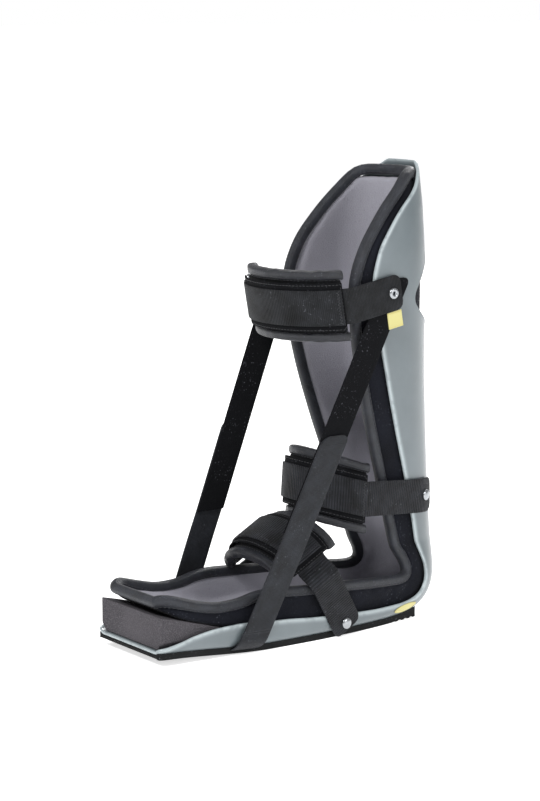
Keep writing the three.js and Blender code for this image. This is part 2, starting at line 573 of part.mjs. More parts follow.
function cuffPieces(name, cuff) {
  const frame = cuffFrame(cuff);
  const padLeft = frame.quarter + cuff.padNear;
  const padRight = -(frame.quarter + cuff.padFar);
  const rivetS = frame.quarter + frame.run;
  const strapMid = STRAP_IN + WEBBING / 2;
  const foldMid = FOLD_IN + WEBBING / 2;
  const wireTurn = RING_WIRE / 2 + 1.5 * GAP + WEBBING / 2;
  const ringO = strapMid + wireTurn;
  const ringFront = -(frame.quarter + cuff.padFar + cuff.ringBehind);
  const ringBack = ringFront - RING_LENGTH;
  const { tail } = cuff;
  const half = STRAP_WIDTH / 2;
  const endHalf = half * cuff.end;

  const padCore = PAD_HEIGHT / 2 - PAD_BINDING - GAP;
  const facingLeft = padLeft - FACING_INSET;
  const facingRight = padRight + FACING_INSET;
  const foldEnd = padLeft - cuff.foldNear;
  const shared = sharedSteps([padLeft, padRight, facingLeft, facingRight, foldEnd], rivetS);
  const steps = (from, to) => [from, ...shared.filter((s) => s > from + 1 && s < to - 1), to];
  const padPath = steps(padRight, padLeft).map((s) => [s, PAD_THICKNESS / 2]);
  const facingPath = steps(facingRight, facingLeft).map((s) => [s, FACING_IN + FACING / 2]);

  // The strap runs from the left rivet across the pad, round the ring and back over the facing
  const outward = [rivetS + tail, rivetS + tail - STRAP_TAPER];
  const inward = steps(ringFront + FOLD_LEAD, rivetS).reverse();
  const folded = steps(ringFront + FOLD_LEAD + 1, foldEnd);
  const strapPath = [
    ...outward.map((s) => [s, strapMid]),
    ...inward.map((s) => [s, strapMid]),
    ...foldRound(ringFront, ringO, wireTurn, -1, -90, 90),
    ...folded.map((s) => [s, foldMid]),
  ];
  const strapHalf = (i) => (i === 0 ? endHalf : half);

  // The ring's own strap runs from the right rivet, round the ring's rear wire and back on itself
  const returnMid = strapMid + WEBBING + GAP;
  const ringPath = [
    [-rivetS - tail, strapMid], [-rivetS - tail + STRAP_TAPER, strapMid],
    ...steps(-rivetS, ringBack - FOLD_LEAD).map((s) => [s, strapMid]),
    ...foldRound(ringBack, ringO, wireTurn, 1, -90, 90),
    ...spread(FOLD_LEAD + 1, RETURN_LENGTH, 2).map((run) => [ringBack - run, returnMid]),
  ];

  const binding = (k) => {
    const places = steps(padRight, padLeft);
    const centres = places.map((s) => cuffPoint(frame, s, PAD_THICKNESS / 2, k));
    const sides = places.map((s) => (
      cuffPoint(frame, s, PAD_THICKNESS, k).sub(cuffPoint(frame, s, 0, k))));
    return bar(centres, sides, PAD_BINDING_DEPTH / 2, PAD_BINDING / 2, false, BAR_SIDES);
  };
  const bindingLevel = (PAD_HEIGHT - PAD_BINDING) / 2;

  // Rectangular wire ring, wider than the strap
  const ringHalf = half + RING_ROOM + RING_WIRE / 2;
  const bend = ringHalf - RING_BEND;
  const ringCorners = [
    [ringFront, -bend], [ringFront, 0], [ringFront, bend], [ringFront - RING_BEND, ringHalf],
    [ringBack + RING_BEND, ringHalf], [ringBack, bend], [ringBack, 0], [ringBack, -bend],
    [ringBack + RING_BEND, -ringHalf], [ringFront - RING_BEND, -ringHalf],
  ];
  const ringCentres = ringCorners.map(([s, k]) => cuffPoint(frame, s, ringO, k));
  const ringSides = ringCorners.map(([s, k]) => (
    cuffPoint(frame, s, ringO + 1, k).sub(cuffPoint(frame, s, ringO, k))));

  const rivets = [1, -1].map((side) => {
    const place = (o) => cuffPoint(frame, side * rivetS, o, 0);
    const reach = RIVET_HEAD / 3;
    const ahead = cuffPoint(frame, side * (rivetS - reach), STRAP_IN, 0);
    const behind = cuffPoint(frame, side * (rivetS + reach), STRAP_IN, 0);
    const above = cuffPoint(frame, side * rivetS, STRAP_IN, reach);
    const below = cuffPoint(frame, side * rivetS, STRAP_IN, -reach);
    const axis = new THREE.Vector3().crossVectors(ahead.sub(behind), above.sub(below)).normalize();
    if (axis.x * side < 0) axis.negate();
    return { seat: place(STRAP_IN), axis, inside: GAP + frame.ease + SHELL_WALL + GAP };
  });
  const holes = rivets.map((rivet) => rivetHole(rivet));

  return {
    rivets,
    holes,
    pieces: [
      [`${name}_pad`, 'foam_cloth', cuffBand(frame, padPath, PAD_THICKNESS, () => -padCore, () => padCore)],
      [`${name}_pad_facing`, 'loop_pile',
        cuffBand(frame, facingPath, FACING, () => -FACING_HEIGHT / 2, () => FACING_HEIGHT / 2)],
      [`${name}_binding_top`, 'binding', binding(bindingLevel)],
      [`${name}_binding_bottom`, 'binding', binding(-bindingLevel)],
      [`${name}_strap`, 'webbing',
        cutAll(cuffBand(frame, strapPath, WEBBING, (i) => -strapHalf(i), strapHalf), [holes[0]])],
      [`${name}_ring`, 'steel', bar(ringCentres, ringSides, RING_WIRE / 2, RING_WIRE / 2, true, BAR_SIDES)],
      [`${name}_ring_strap`, 'webbing',
        cutAll(cuffBand(frame, ringPath, WEBBING, (i) => -strapHalf(i), strapHalf), [holes[1]])],
      [`${name}_rivet_left`, 'steel', rivetBody(rivets[0], cuff.eyelet)],
      [`${name}_rivet_right`, 'steel', rivetBody(rivets[1], cuff.eyelet)],
    ],
  };
}

// Rivets: a domed head over the strap, a shank through the wall and a flat head inside the trough.

function placeOnAxis(geometry, rivet) {
  const turn = new THREE.Quaternion().setFromUnitVectors(new THREE.Vector3(0, 1, 0), rivet.axis);
  return geometry.applyQuaternion(turn).translate(rivet.seat.x, rivet.seat.y, rivet.seat.z);
}

function rivetBody(rivet, tubular) {
  const top = WEBBING + GAP;
  const bottom = -rivet.inside;
  const shank = RIVET_SHANK / 2;
  const head = RIVET_HEAD / 2;
  const bore = tubular ? EYELET_BORE / 2 : 0;
  const profile = [
    [bore, bottom - RIVET_WASHER], [head * 0.9, bottom - RIVET_WASHER], [head * 0.9, bottom],
    [shank, bottom], [shank, top], [head, top], [head, top + RIVET_DOME * 0.4],
    [head * 0.7, top + RIVET_DOME], [bore + 0.4, top + RIVET_DOME * (tubular ? 0.9 : 1.1)],
    [bore, top + RIVET_DOME * (tubular ? 0.7 : 1.1)],
  ].map(([x, y]) => new THREE.Vector2(x, y));
  if (tubular) profile.push(profile[0].clone());
  return placeOnAxis(new THREE.LatheGeometry(profile, ROUND_SIDES), rivet);
}

function rivetHole(rivet) {
  const length = 2 * (rivet.inside + SHELL_WALL);
  return placeOnAxis(new THREE.CylinderGeometry(
    RIVET_SHANK / 2 + GAP,
    RIVET_SHANK / 2 + GAP,
    length,
    ROUND_SIDES,
  ), rivet);
}

// Room round the flat head inside the trough: a seat in the corner of the shell, or a deeper pocket
// in the foam
function rivetRoom(rivet, depth) {
  const radius = RIVET_HEAD * 0.45 + GAP;
  const room = new THREE.CylinderGeometry(radius, radius, depth + GAP, ROUND_SIDES);
  room.translate(0, GAP - rivet.inside - (depth + GAP) / 2, 0);
  return placeOnAxis(room, rivet);
}

// Shell, with its vent and the holes for the rivets

function ventCutter() {
  const outline = new THREE.Shape(range(VENT_SIDES).map((i) => {
    const angle = (i / VENT_SIDES) * 2 * Math.PI;
    const lift = Math.sin(angle);
    return new THREE.Vector2(
      (VENT_WIDTH / 2) * Math.cos(angle) * (1 - 0.28 * lift - 0.1 * lift * lift),
      (VENT_HEIGHT / 2) * lift,
    );
  }));
  const cutter = new THREE.ExtrudeGeometry(outline, { depth: VENT_DEPTH, bevelEnabled: false });
  return cutter.rotateX(Math.PI / 2).translate(0, HEEL_Y + GAP, BASE_Z + VENT_LEVEL * SHELL_HEIGHT);
}

function shellBody(holes, seats) {
  return cutAll(sheetBetween(shellGrid(0), shellGrid(SHELL_WALL)), [ventCutter(), ...holes, ...seats]);
}

// Rubber sole, fitted to the underside of the shell, with a groove for the stirrup strap

function outsoleBody(groove) {
  const places = SHELL_PLACES.filter((place) => place <= 1 || stationAt(place).z < BASE_Z + SHELL_WALL);
  const half = [FLAT_STEPS / SECTION_STEPS, 0.5, 0.75, 1];
  const sides = [...half.map((side) => -side).reverse(), 0, ...half];
  const top = places.map((place) => {
    const station = stationAt(place);
    const climb = station.inward * (1 - Math.cos(OUTSOLE_WRAP * TO_RADIANS));
    const height = Math.min(climb, station.rim * 0.5);
    return sides.map((side) => sectionPoint(station, -GAP, height, side));
  });
  const bottom = top.map((row, i) => row.map((p) => new THREE.Vector3(p.x, p.y, springAt(places[i]))));
  return cutAll(sheetBetween(top, bottom), [groove]);
}

// Wedge under the toes

const troughFloor = (y) => stationAt(clamp((y - FRONT_Y) / SOLE_RUN, 0, 1)).z + SHELL_WALL + GAP;
const wedgeShare = (y) => clamp((y - FRONT_Y - WEDGE_SETBACK) / WEDGE_LENGTH, 0, 1);
const wedgeTop = (y) => troughFloor(y) + mix(WEDGE_HEIGHT, WEDGE_TAIL, wedgeShare(y));

function wedgeBody() {
  const front = FRONT_Y + WEDGE_SETBACK;
  const half = WEDGE_WIDTH / 2;
  const rows = spread(front, front + WEDGE_LENGTH, WEDGE_STEPS).map((y) => {
    const floor = troughFloor(y);
    const rise = Math.min(WEDGE_CHAMFER, (wedgeTop(y) - floor) * WEDGE_CHAMFER_SHARE);
    const sides = [half - WEDGE_CHAMFER, half];
    const point = (x, z) => new THREE.Vector3(x, y, z);
    return {
      top: [point(-sides[1], floor + rise + GAP), point(-sides[1], wedgeTop(y)),
        point(sides[1], wedgeTop(y)), point(sides[1], floor + rise + GAP)],
      bottom: [point(-sides[1], floor + rise), point(-sides[0], floor),
        point(sides[0], floor), point(sides[1], floor + rise)],
    };
  });
  return sheetBetween(rows.map((row) => row.top), rows.map((row) => row.bottom));
}

// Foam liner, from the toes to the top of the calf, and its bound edge

const LINER_OUT = SHELL_WALL + LINER_GAP;
const LINER_TOP = 3 - LINER_TOP_DROP / LEG_RUN;
const LINER_PLACES = [
  0.035, 0.042, 0.057, 0.08, 0.11, 0.15, 0.2, 0.25, 0.34, 0.4, ...spread(0.46, 1, 6), ...HEEL_PLACES,
  ...LEG_PLACES.filter((place) => place < LINER_TOP - 0.01), LINER_TOP,
];
const NOSE_START = LINER_PLACES[0];
const NOSE_END = 0.15;
const NOSE_WIDTH = 0.8;

function linerStation(place) {
  const station = stationAt(place);
  if (place > 1) {
    return { ...station, height: station.rim + station.proud };
  }
  const nose = clamp((place - NOSE_START) / (NOSE_END - NOSE_START), 0, 1);
  const curl = LINER_CURL * (1 - nose) ** 3;
  const slope = (3 * LINER_CURL * (1 - nose) ** 2) / ((NOSE_END - NOSE_START) * SOLE_RUN);
  const floor = Math.max(wedgeTop(station.y) + GAP, station.z + LINER_OUT) + curl;
  const lift = floor - station.z - LINER_OUT;
  const rimLevel = BASE_Z + LINER_FOOT_RIM * readTable(LINER_RIMS, 'rim', place);
  return {
    ...station,
    z: station.z + lift,
    inY: slope / Math.hypot(1, slope),
    inZ: 1 / Math.hypot(1, slope),
    half: station.half * mix(NOSE_WIDTH, 1, Math.sqrt(1 - (1 - nose) ** 2)),
    height: rimLevel - station.z - lift,
  };
}

// The liner is three panels, for the foot, the heel and the leg, that meet in butt seams
const LINER_SEAMS = [LINER_PLACES.find((place) => place > 0.8), LINER_PLACES.find((place) => place > 2.2)];

function linerPanel(from, to, pockets) {
  const seam = (place) => GAP / 2 / (place < 1 ? SOLE_RUN : LEG_RUN);
  const start = from > NOSE_START ? from + seam(from) : from;
  const end = to < LINER_TOP ? to - seam(to) : to;
  const between = LINER_PLACES.filter((place) => place > from && place < to);
  const grid = (offset) => [start, ...between, end].map((place) => {
    const station = linerStation(place);
    return spread(-1, 1, 2 * SECTION_STEPS).map((side) => (
      sectionPoint(station, offset, station.height, side)));
  });
  return cutAll(
    sheetBetween(grid(LINER_OUT), grid(LINER_OUT + LINER_THICKNESS)),
    pockets,
  );
}

// The binding's centre line goes round the liner's edge: down the left rim, round the toes, up the
// right rim and across the top. It keeps one distance from each stretch of the edge.
function linerBinding() {
  const radius = BINDING_DIAMETER / 2;
  const edge = (place, side) => {
    const station = linerStation(place);
    const outer = sectionPoint(station, LINER_OUT, station.height, side);
    const inner = sectionPoint(station, LINER_OUT + LINER_THICKNESS, station.height, side);
    return { centre: mix3(outer, inner, 0.5), across: outer.sub(inner) };
  };
  const loop = [
    ...[...LINER_PLACES].reverse().map((place) => edge(place, 1)),
    ...spread(TOE_EDGE.reach, -TOE_EDGE.reach, TOE_EDGE.steps).map((side) => edge(LINER_PLACES[0], side)),
    ...LINER_PLACES.map((place) => edge(place, -1)),
    ...spread(-TOP_EDGE.reach, TOP_EDGE.reach, TOP_EDGE.steps).map((side) => edge(LINER_PLACES.at(-1), side)),
  ];
  const normals = loop.map(({ centre, across }, i) => {
    const along = loop[(i + 1) % loop.length].centre.clone().sub(centre);
    return new THREE.Vector3().crossVectors(along, across).normalize();
  });
  const centres = loop.map(({ centre }, i) => {
    const before = normals[(i + loop.length - 1) % loop.length];
    const turn = Math.max(before.dot(normals[i]), SHARPEST_MITER);
    const miter = before.clone().add(normals[i]).divideScalar(1 + turn);
    return centre.clone().addScaledVector(miter, radius + BINDING_GAP);
  });
  return bar(centres, loop.map((point) => point.across), radius, radius, true, BAR_SIDES);
}

// Side straps and the stirrup strap. Each row of a strap is level and holds its two edges.

const SHIN = cuffFrame(CUFFS.shin);
const STIRRUP_Y = FRONT_Y + STIRRUP_PLACE * SOLE_RUN;
const TAIL_Z = BASE_Z + SIDE_STRAP_TAIL * SHELL_HEIGHT;
const HOOK_Z = BASE_Z + STIRRUP_REACH * SHELL_HEIGHT;

// The centre line of a side strap goes from the shin rivet, or a place ahead of it, to the stirrup.
function strapLine(strap) {
  const topY = SHIN.rivetY - strap.ahead * Math.cos(SHIN.pitch);
  const topZ = SHIN.rivetZ + strap.ahead * Math.sin(SHIN.pitch);
  const slope = (topY - STIRRUP_Y) / (topZ - BASE_Z);
  const footLevel = stationAt(STIRRUP_PLACE).z + SOLE_CORNER;
  return {
    ...strap,
    topZ,
    slope,
    footLevel,
    halfRow: (SIDE_STRAP_WIDTH / 2) * Math.hypot(1, slope),
    centreY: (z) => topY - (topZ - z) * slope,
    innerX: (z) => GAP + mix(SOLE_HALF, CALF_HALF, clamp((z - footLevel) / (TAIL_Z - footLevel), 0, 1))
      + strap.lifted * (WEBBING + GAP) * clamp((z - TAIL_Z) / (topZ - SIDE_STRAP_WIDTH - TAIL_Z), 0, 1),
  };
}

function strapRow(line, z, share, offset) {
  const x = line.side * (line.innerX(z) + offset);
  return [-1, 1].map((edge) => (
    new THREE.Vector3(x, line.centreY(z) + edge * line.halfRow * share, z)));
}

function sideStrap(strap, holes) {
  const line = strapLine(strap);
  const levels = [
    [line.topZ + SIDE_STRAP_TOP, 0.55],
    [line.topZ + SIDE_STRAP_TOP * 0.83, 0.85],
    [line.topZ + SIDE_STRAP_TOP * 0.5, 1],
    ...spread(line.topZ, TAIL_Z, 5).map((z) => [z, 1]),
  ];
  const grid = (offset) => levels.map(([z, share]) => strapRow(line, z, share, offset));
  return cutAll(sheetBetween(grid(WEBBING), grid(0)), holes);
}

// The stirrup goes down the left side, under the shell and up the right side. Grow adds a
// clearance all round, for the groove in the rubber.
function stirrupStrap(grow) {
  const left = strapLine(SIDE_STRAPS.left);
  const right = strapLine(SIDE_STRAPS.right);
  const sideRows = (line, offset) => {
    const drop = TAIL_Z - SIDE_STRAP_WIDTH / 2;
    const levels = [
      [HOOK_Z, 0.45], [HOOK_Z - HOOK_TIP / 3, 0.8], [HOOK_Z - HOOK_TIP, 1], [TAIL_Z, 1], [drop, 1],
      [mix(line.footLevel, drop, 0.5), 1], [mix(line.footLevel, drop, 0.25), 1],
    ];
    return levels.map(([z, share]) => {
      const lay = (WEBBING + GAP) * smooth(clamp((z - line.footLevel) / (drop - line.footLevel), 0, 1));
      return strapRow(line, z, share, lay + offset);
    });
  };
  const under = (offset) => spread(1, -1, 2 * SECTION_STEPS).map((share) => {
    const half = mix(right.halfRow, left.halfRow, (share + 1) / 2) + grow;
    return [-1, 1].map((edge) => {
      const place = (STIRRUP_Y + edge * half - FRONT_Y) / SOLE_RUN;
      const station = { ...stationAt(place), half: SOLE_HALF };
      const p = sectionPoint(station, -(GAP + offset), SOLE_CORNER + SHELL_WALL, share);
      const lean = (share > 0 ? left.slope : right.slope) * (p.z - station.z);
      return new THREE.Vector3(p.x, p.y + lean, p.z);
    });
  });
  const grid = (offset) => [
    ...sideRows(left, offset),
    ...under(offset),
    ...sideRows(right, offset).reverse(),
  ];
  return sheetBetween(grid(WEBBING + grow), grid(-grow));
}

// Small labels: a folded tag under the shin strap and an oval on the heel, both bare

function sizeTag() {
  const frame = cuffFrame(CUFFS.shin);
  const rivetS = frame.quarter + frame.run;
  const path = [rivetS - TAG_LENGTH / 2, rivetS, rivetS + TAG_LENGTH / 2]
    .map((s) => [s - 1, STRAP_IN + TAG_THICKNESS / 2]);
  const top = -STRAP_WIDTH / 2 - GAP;
  return cuffBand(frame, path, TAG_THICKNESS, () => top - TAG_HEIGHT, () => top);
}

function ovalLabel() {
  const half = LABEL_LENGTH / 2;
  const grid = (offset) => spread(-1, 1, 8).map((along) => {
    const share = Math.max(Math.sqrt(1 - along * along), 0.25);
    return spread(-1, 1, 2).map((up) => {
      const y = HEEL_Y - LABEL_AHEAD + along * half;
      const z = BASE_Z + LABEL_UP + along * 1.5 + (up * share * LABEL_HEIGHT) / 2;
      return shellSide(y, z, offset);
    });
  });
  return sheetBetween(grid(-GAP - LABEL_THICKNESS), grid(-GAP));
}

// A point on the shell's side near the heel, found along the fanned sections
function shellSide(y, z, offset) {
  if (y <= FAN.y) return new THREE.Vector3(footX(y, z, offset), y, z);
  const place = 1 + (1 - Math.atan2(FAN.z - z, y - FAN.y) / (Math.PI / 2));
  const station = stationAt(place);
  const n = Math.hypot(station.y - FAN.y, station.z - FAN.z) - Math.hypot(y - FAN.y, z - FAN.z);
  return new THREE.Vector3(wallX(station, n, offset), y, z);
}

// The whole splint

const group = new THREE.Group();

function add(name, material, geometry) {
  const mesh = new THREE.Mesh(geometry, new THREE.MeshStandardMaterial(MATERIALS[material]));
  mesh.name = name;
  group.add(mesh);
}

const cuffs = Object.entries(CUFFS).map(([name, cuff]) => cuffPieces(name, cuff));
const allHoles = cuffs.flatMap((cuff) => cuff.holes);
const allRivets = cuffs.flatMap((cuff) => cuff.rivets);

const seats = allRivets.map((rivet) => rivetRoom(rivet, 2 * SHELL_WALL));
const pockets = allRivets.map((rivet) => rivetRoom(rivet, RIVET_WASHER + 2 * GAP));

add('shell', 'plastic', shellBody(allHoles, seats));
add('outsole', 'rubber', outsoleBody(stirrupStrap(GAP)));
add('toe_wedge', 'wedge_foam', wedgeBody());
add('liner_foot', 'foam_cloth', linerPanel(NOSE_START, LINER_SEAMS[0], pockets));
add('liner_heel', 'foam_cloth', linerPanel(LINER_SEAMS[0], LINER_SEAMS[1], pockets));
add('liner_leg', 'foam_cloth', linerPanel(LINER_SEAMS[1], LINER_TOP, pockets));
add('liner_binding', 'binding', linerBinding());
cuffs.forEach((cuff) => cuff.pieces.forEach(([name, material, geometry]) => add(name, material, geometry)));
add('side_strap_left', 'loop_pile', sideStrap(SIDE_STRAPS.left, [cuffs[0].holes[0]]));
add('side_strap_right', 'loop_pile', sideStrap(SIDE_STRAPS.right, []));
add('stirrup_strap', 'webbing', stirrupStrap(0));
add('size_tag', 'yellow', sizeTag());
add('oval_label', 'yellow', ovalLabel());

export default group;
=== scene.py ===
# %% [markdown]
# # A night splint, from the toes to the calf
# The real thing is an L-shaped trough of hard plastic with a foam liner, three padded cuffs and
# two long side straps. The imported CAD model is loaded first, as a fixed frame: it says where
# every part sits, and each piece below is a finer stand-in for one of its solids.

import functools
import math
from types import SimpleNamespace

import bmesh
import bpy
import numpy as np
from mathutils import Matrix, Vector, kdtree, noise


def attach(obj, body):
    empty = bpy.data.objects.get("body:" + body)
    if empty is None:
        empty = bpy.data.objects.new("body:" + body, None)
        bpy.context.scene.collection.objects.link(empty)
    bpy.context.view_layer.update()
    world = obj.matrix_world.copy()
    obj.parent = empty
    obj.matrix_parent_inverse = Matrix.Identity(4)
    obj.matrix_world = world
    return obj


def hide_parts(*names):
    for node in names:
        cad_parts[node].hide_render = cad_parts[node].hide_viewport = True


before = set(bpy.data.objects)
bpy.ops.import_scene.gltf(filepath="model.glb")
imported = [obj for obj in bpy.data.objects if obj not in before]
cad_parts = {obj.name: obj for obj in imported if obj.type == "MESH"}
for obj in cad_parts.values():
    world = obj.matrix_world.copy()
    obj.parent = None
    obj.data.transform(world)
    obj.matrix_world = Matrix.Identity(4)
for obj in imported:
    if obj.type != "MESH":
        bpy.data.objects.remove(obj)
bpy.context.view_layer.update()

# %% [markdown]
# ## Sizes
# All sizes are millimetres, as on a workshop drawing, and turn to metres only when a mesh is made.
# The tables give the shell's section at a few places. Reading them through smooth curves gives a
# moulded form that no list of vertices could describe as shortly.

# %% Sizes of the splint
MM = 0.001
GAP = 0.3
SHELL_LENGTH = 303
SHELL_HEIGHT = 387
SHELL_WALL = 3
HALF_WALL = SHELL_WALL / 2
SOLE_HALF = 54
SOLE_CORNER = 9
LEAST_CORNER = 1.5
SOLE_RIM = 21.5
HEEL_REACH = 69
HEEL_RISE = 63
HEEL_SQUARENESS = 3.3
HEEL_DEPTH = 34
CALF_HALF = 54
WING_DEPTH = 81
BACK_LEAN = 18
FOAM = 8
FOAM_PROUD = 15
TOE_SPRING = 6
TOE_SPRING_START = 0.45
OUTSOLE_THICKNESS = 3.4
OUTSOLE_WRAP = math.radians(38)
WEBBING = 1.5
STRAP_HALF = 15
SIDE_STRAP_WIDTH = 25

FRONT_Y = -SHELL_LENGTH / 2
HEEL_Y = SHELL_LENGTH / 2
BASE_Z = OUTSOLE_THICKNESS + GAP
FAN_Y = HEEL_Y - HEEL_REACH
FAN_Z = BASE_Z + HEEL_RISE
SOLE_RUN = FAN_Y - FRONT_Y
LEG_RUN = BASE_Z + SHELL_HEIGHT - FAN_Z

# %% Tables of sections
SOLE_SECTIONS = {
    "at": [0, 0.01, 0.033, 0.078, 0.143, 0.233, 0.355, 0.498, 0.64, 0.804, 0.927, 1],
    "width": [0.85, 0.89, 0.915, 0.925, 0.935, 0.945, 0.96, 0.99, 1, 0.97, 0.92, 0.875],
    "rim": [0.19, 0.22, 0.28, 0.44, 0.67, 0.88, 1, 0.93, 0.79, 0.67, 0.59, 0.57],
}
HEEL_SECTIONS = {
    "at": [0, 0.2, 0.4, 0.55, 0.7, 0.85, 1],
    "width": [1, 0.965, 0.925, 0.89, 0.86, 0.83, 0.805],
    "across": [0.21, 0.33, 0.5, 0.64, 0.76, 0.86, 0.93],
    "rim": [0.36, 0.38, 0.44, 0.56, 0.74, 0.91, 1],
}
LEG_SECTIONS = {
    "at": [0, 0.075, 0.17, 0.32, 0.45, 0.53, 0.625, 0.7, 0.775, 0.843, 0.895, 0.937, 0.968, 0.988, 1],
    "lean": [0, 0.12, 0.27, 0.49, 0.63, 0.67, 0.71, 0.74, 0.77, 0.81, 0.86, 0.9, 0.94, 0.97, 1],
    "width": [0.705, 0.72, 0.765, 0.855, 0.92, 0.95, 0.985, 1, 0.985, 0.935, 0.88, 0.83, 0.79, 0.765, 0.75],
    "inward": [0.9, 0.9, 0.92, 0.93, 0.94, 0.94, 0.93, 0.92, 0.92, 0.92, 0.88, 0.9, 0.9, 0.9, 0.9],
    "wing": [0.42, 0.46, 0.535, 0.68, 0.8, 0.875, 0.955, 1, 0.92, 0.725, 0.52, 0.3, 0.17, 0.09, 0.055],
    "proud": [0.85, 0.95, 1, 1, 1, 0.95, 0.8, 0.6, 0.4, 0.3, 0.3, 0.35, 0.4, 0.4, 0.4],
}
LINER_RIMS = {
    "at": [0.045, 0.1, 0.18, 0.25, 0.34, 0.4, 0.46, 0.6, 0.75, 1],
    "rim": [1.13, 1.07, 0.94, 0.875, 0.89, 0.99, 1.02, 0.955, 0.895, 0.757],
}

# %% Short helpers for numbers


def clamp(value, low, high):
    return min(max(value, low), high)


def mix(a, b, t):
    return a + (b - a) * t


def smooth(t):
    return t * t * (3 - 2 * t)


def unit(vector):
    return vector / np.linalg.norm(vector)


def turns_of(count):
    return [2 * math.pi * i / count for i in range(count)]


def spread(start, end, count):
    return [mix(start, end, i / count) for i in range(count + 1)]


def run_of(start, *legs):
    """Values from start on, through each leg's end in its number of steps."""
    values = [start]
    for end, count in legs:
        values += spread(start, end, count)[1:]
        start = end
    return values


def read_table(table, column, at):
    """Reads a table at any share, through curves that don't overshoot its rows."""
    places = table["at"]
    values = table[column]
    i = 0
    while i < len(places) - 2 and at > places[i + 1]:
        i += 1

    def slope(k):
        return (values[k + 1] - values[k]) / (places[k + 1] - places[k])

    def tangent(k):
        if k == 0:
            return slope(0)
        if k == len(places) - 1:
            return slope(k - 1)
        before = slope(k - 1)
        after = slope(k)
        return 0 if before * after <= 0 else 2 * before * after / (before + after)

    width = places[i + 1] - places[i]
    t = clamp((at - places[i]) / width, 0, 1)
    curve = t * (width * tangent(i) * (1 - t) ** 2 - t * (1 - t) * width * tangent(i + 1))
    return values[i] + curve - (values[i] - values[i + 1]) * t * t * (3 - 2 * t)


# %% [markdown]
# ## One rule for the trough
# A place from 0 to 1 runs along the sole, 1 to 2 round the heel and 2 to 3 up the leg. Shell, liner,
# rubber sole and binding all ask the same rule for their sections, so they nest without a fitting.

# %% The trough's rule


def spring_at(place):
    return TOE_SPRING * smooth(clamp(1 - place / TOE_SPRING_START, 0, 1))


def share_of(table, column, at):
    """How far a column has moved from its first value to its last."""
    first = table[column][0]
    return (read_table(table, column, at) - first) / (table[column][-1] - first)


def heel_station(share):
    angle = (1 - share) * math.pi / 2
    side_view = (abs(math.cos(angle)) / HEEL_REACH) ** HEEL_SQUARENESS
    side_view += (abs(math.sin(angle)) / HEEL_RISE) ** HEEL_SQUARENESS
    reach = side_view ** (-1 / HEEL_SQUARENESS)
    sole_half = SOLE_HALF * SOLE_SECTIONS["width"][-1]
    leg_half = CALF_HALF * LEG_SECTIONS["width"][0]
    corner = share_of(HEEL_SECTIONS, "across", share)
    return SimpleNamespace(
        y=FAN_Y + reach * math.cos(angle), z=FAN_Z - reach * math.sin(angle),
        in_y=-math.cos(angle), in_z=math.sin(angle),
        half=mix(sole_half, leg_half, share_of(HEEL_SECTIONS, "width", share)),
        across=mix(SOLE_CORNER, leg_half * HEEL_SECTIONS["across"][-1], corner),
        inward=mix(SOLE_CORNER, leg_half * LEG_SECTIONS["inward"][0], corner),
        rim=mix(SOLE_RIM * SOLE_SECTIONS["rim"][-1], HEEL_DEPTH, share_of(HEEL_SECTIONS, "rim", share)),
        proud=FOAM_PROUD * mix(1, LEG_SECTIONS["proud"][0], share))


@functools.lru_cache(maxsize=None)
def station_at(place):
    if place <= 1:
        return SimpleNamespace(
            y=FRONT_Y + place * SOLE_RUN, z=BASE_Z + spring_at(place), in_y=0, in_z=1,
            half=SOLE_HALF * read_table(SOLE_SECTIONS, "width", place),
            across=SOLE_CORNER, inward=SOLE_CORNER,
            rim=SOLE_RIM * read_table(SOLE_SECTIONS, "rim", place), proud=FOAM_PROUD)
    if place <= 2:
        return heel_station(place - 1)
    share = place - 2
    half = CALF_HALF * read_table(LEG_SECTIONS, "width", share)
    wing = read_table(LEG_SECTIONS, "wing", share)
    start = LEG_SECTIONS["wing"][0]
    rim = HEEL_DEPTH * wing / start
    if wing > start:
        rim = mix(HEEL_DEPTH, WING_DEPTH, (wing - start) / (1 - start))
    return SimpleNamespace(
        y=HEEL_Y - BACK_LEAN * read_table(LEG_SECTIONS, "lean", share), z=FAN_Z + share * LEG_RUN,
        in_y=-1, in_z=0, half=half, across=half * HEEL_SECTIONS["across"][-1],
        inward=half * read_table(LEG_SECTIONS, "inward", share), rim=rim,
        proud=FOAM_PROUD * read_table(LEG_SECTIONS, "proud", share))


def sole_station(y):
    return station_at(clamp((y - FRONT_Y) / SOLE_RUN, 0, 1))


def leg_station(z):
    return station_at(2 + clamp((z - FAN_Z) / LEG_RUN, 0, 1))


def changed(station, **values):
    return SimpleNamespace(**{**vars(station), **values})


FLAT_END = 1 / 7
CORNER_END = 6 / 7


def section_point(station, offset, height, side):
    """A point of a section. Side runs from -1 to 1, rim to rim, and offset goes inward."""
    across = max(station.across - offset, LEAST_CORNER)
    inward = max(station.inward - offset, LEAST_CORNER)
    flat = station.half - offset - across
    turn = math.acos(clamp(1 - height / station.inward, 0, 1))
    straight = max(height - station.inward, 0)
    corner_end = mix(1, CORNER_END, min(straight / SHELL_WALL, 1))
    share = abs(side)
    x = flat * share / FLAT_END
    n = offset
    if share > FLAT_END:
        angle = turn * min((share - FLAT_END) / (corner_end - FLAT_END), 1)
        x = flat + across * math.sin(angle)
        n = offset + inward * (1 - math.cos(angle))
        if share > corner_end:
            n += max(height - offset - inward, 0) * (share - corner_end) / (1 - corner_end)
    return (math.copysign(x, side), station.y + station.in_y * n, station.z + station.in_z * n)


def wall_x(station, n, offset):
    """Half width of the outer face, moved inward by offset, at n above the middle line."""
    if n >= station.inward:
        return station.half - offset
    lean = clamp((station.inward - n) / (station.inward - offset), -1, 1)
    return station.half - station.across + (station.across - offset) * math.sqrt(1 - lean * lean)


def leg_x(y, z, offset):
    station = leg_station(z)
    return wall_x(station, station.y - y, offset)


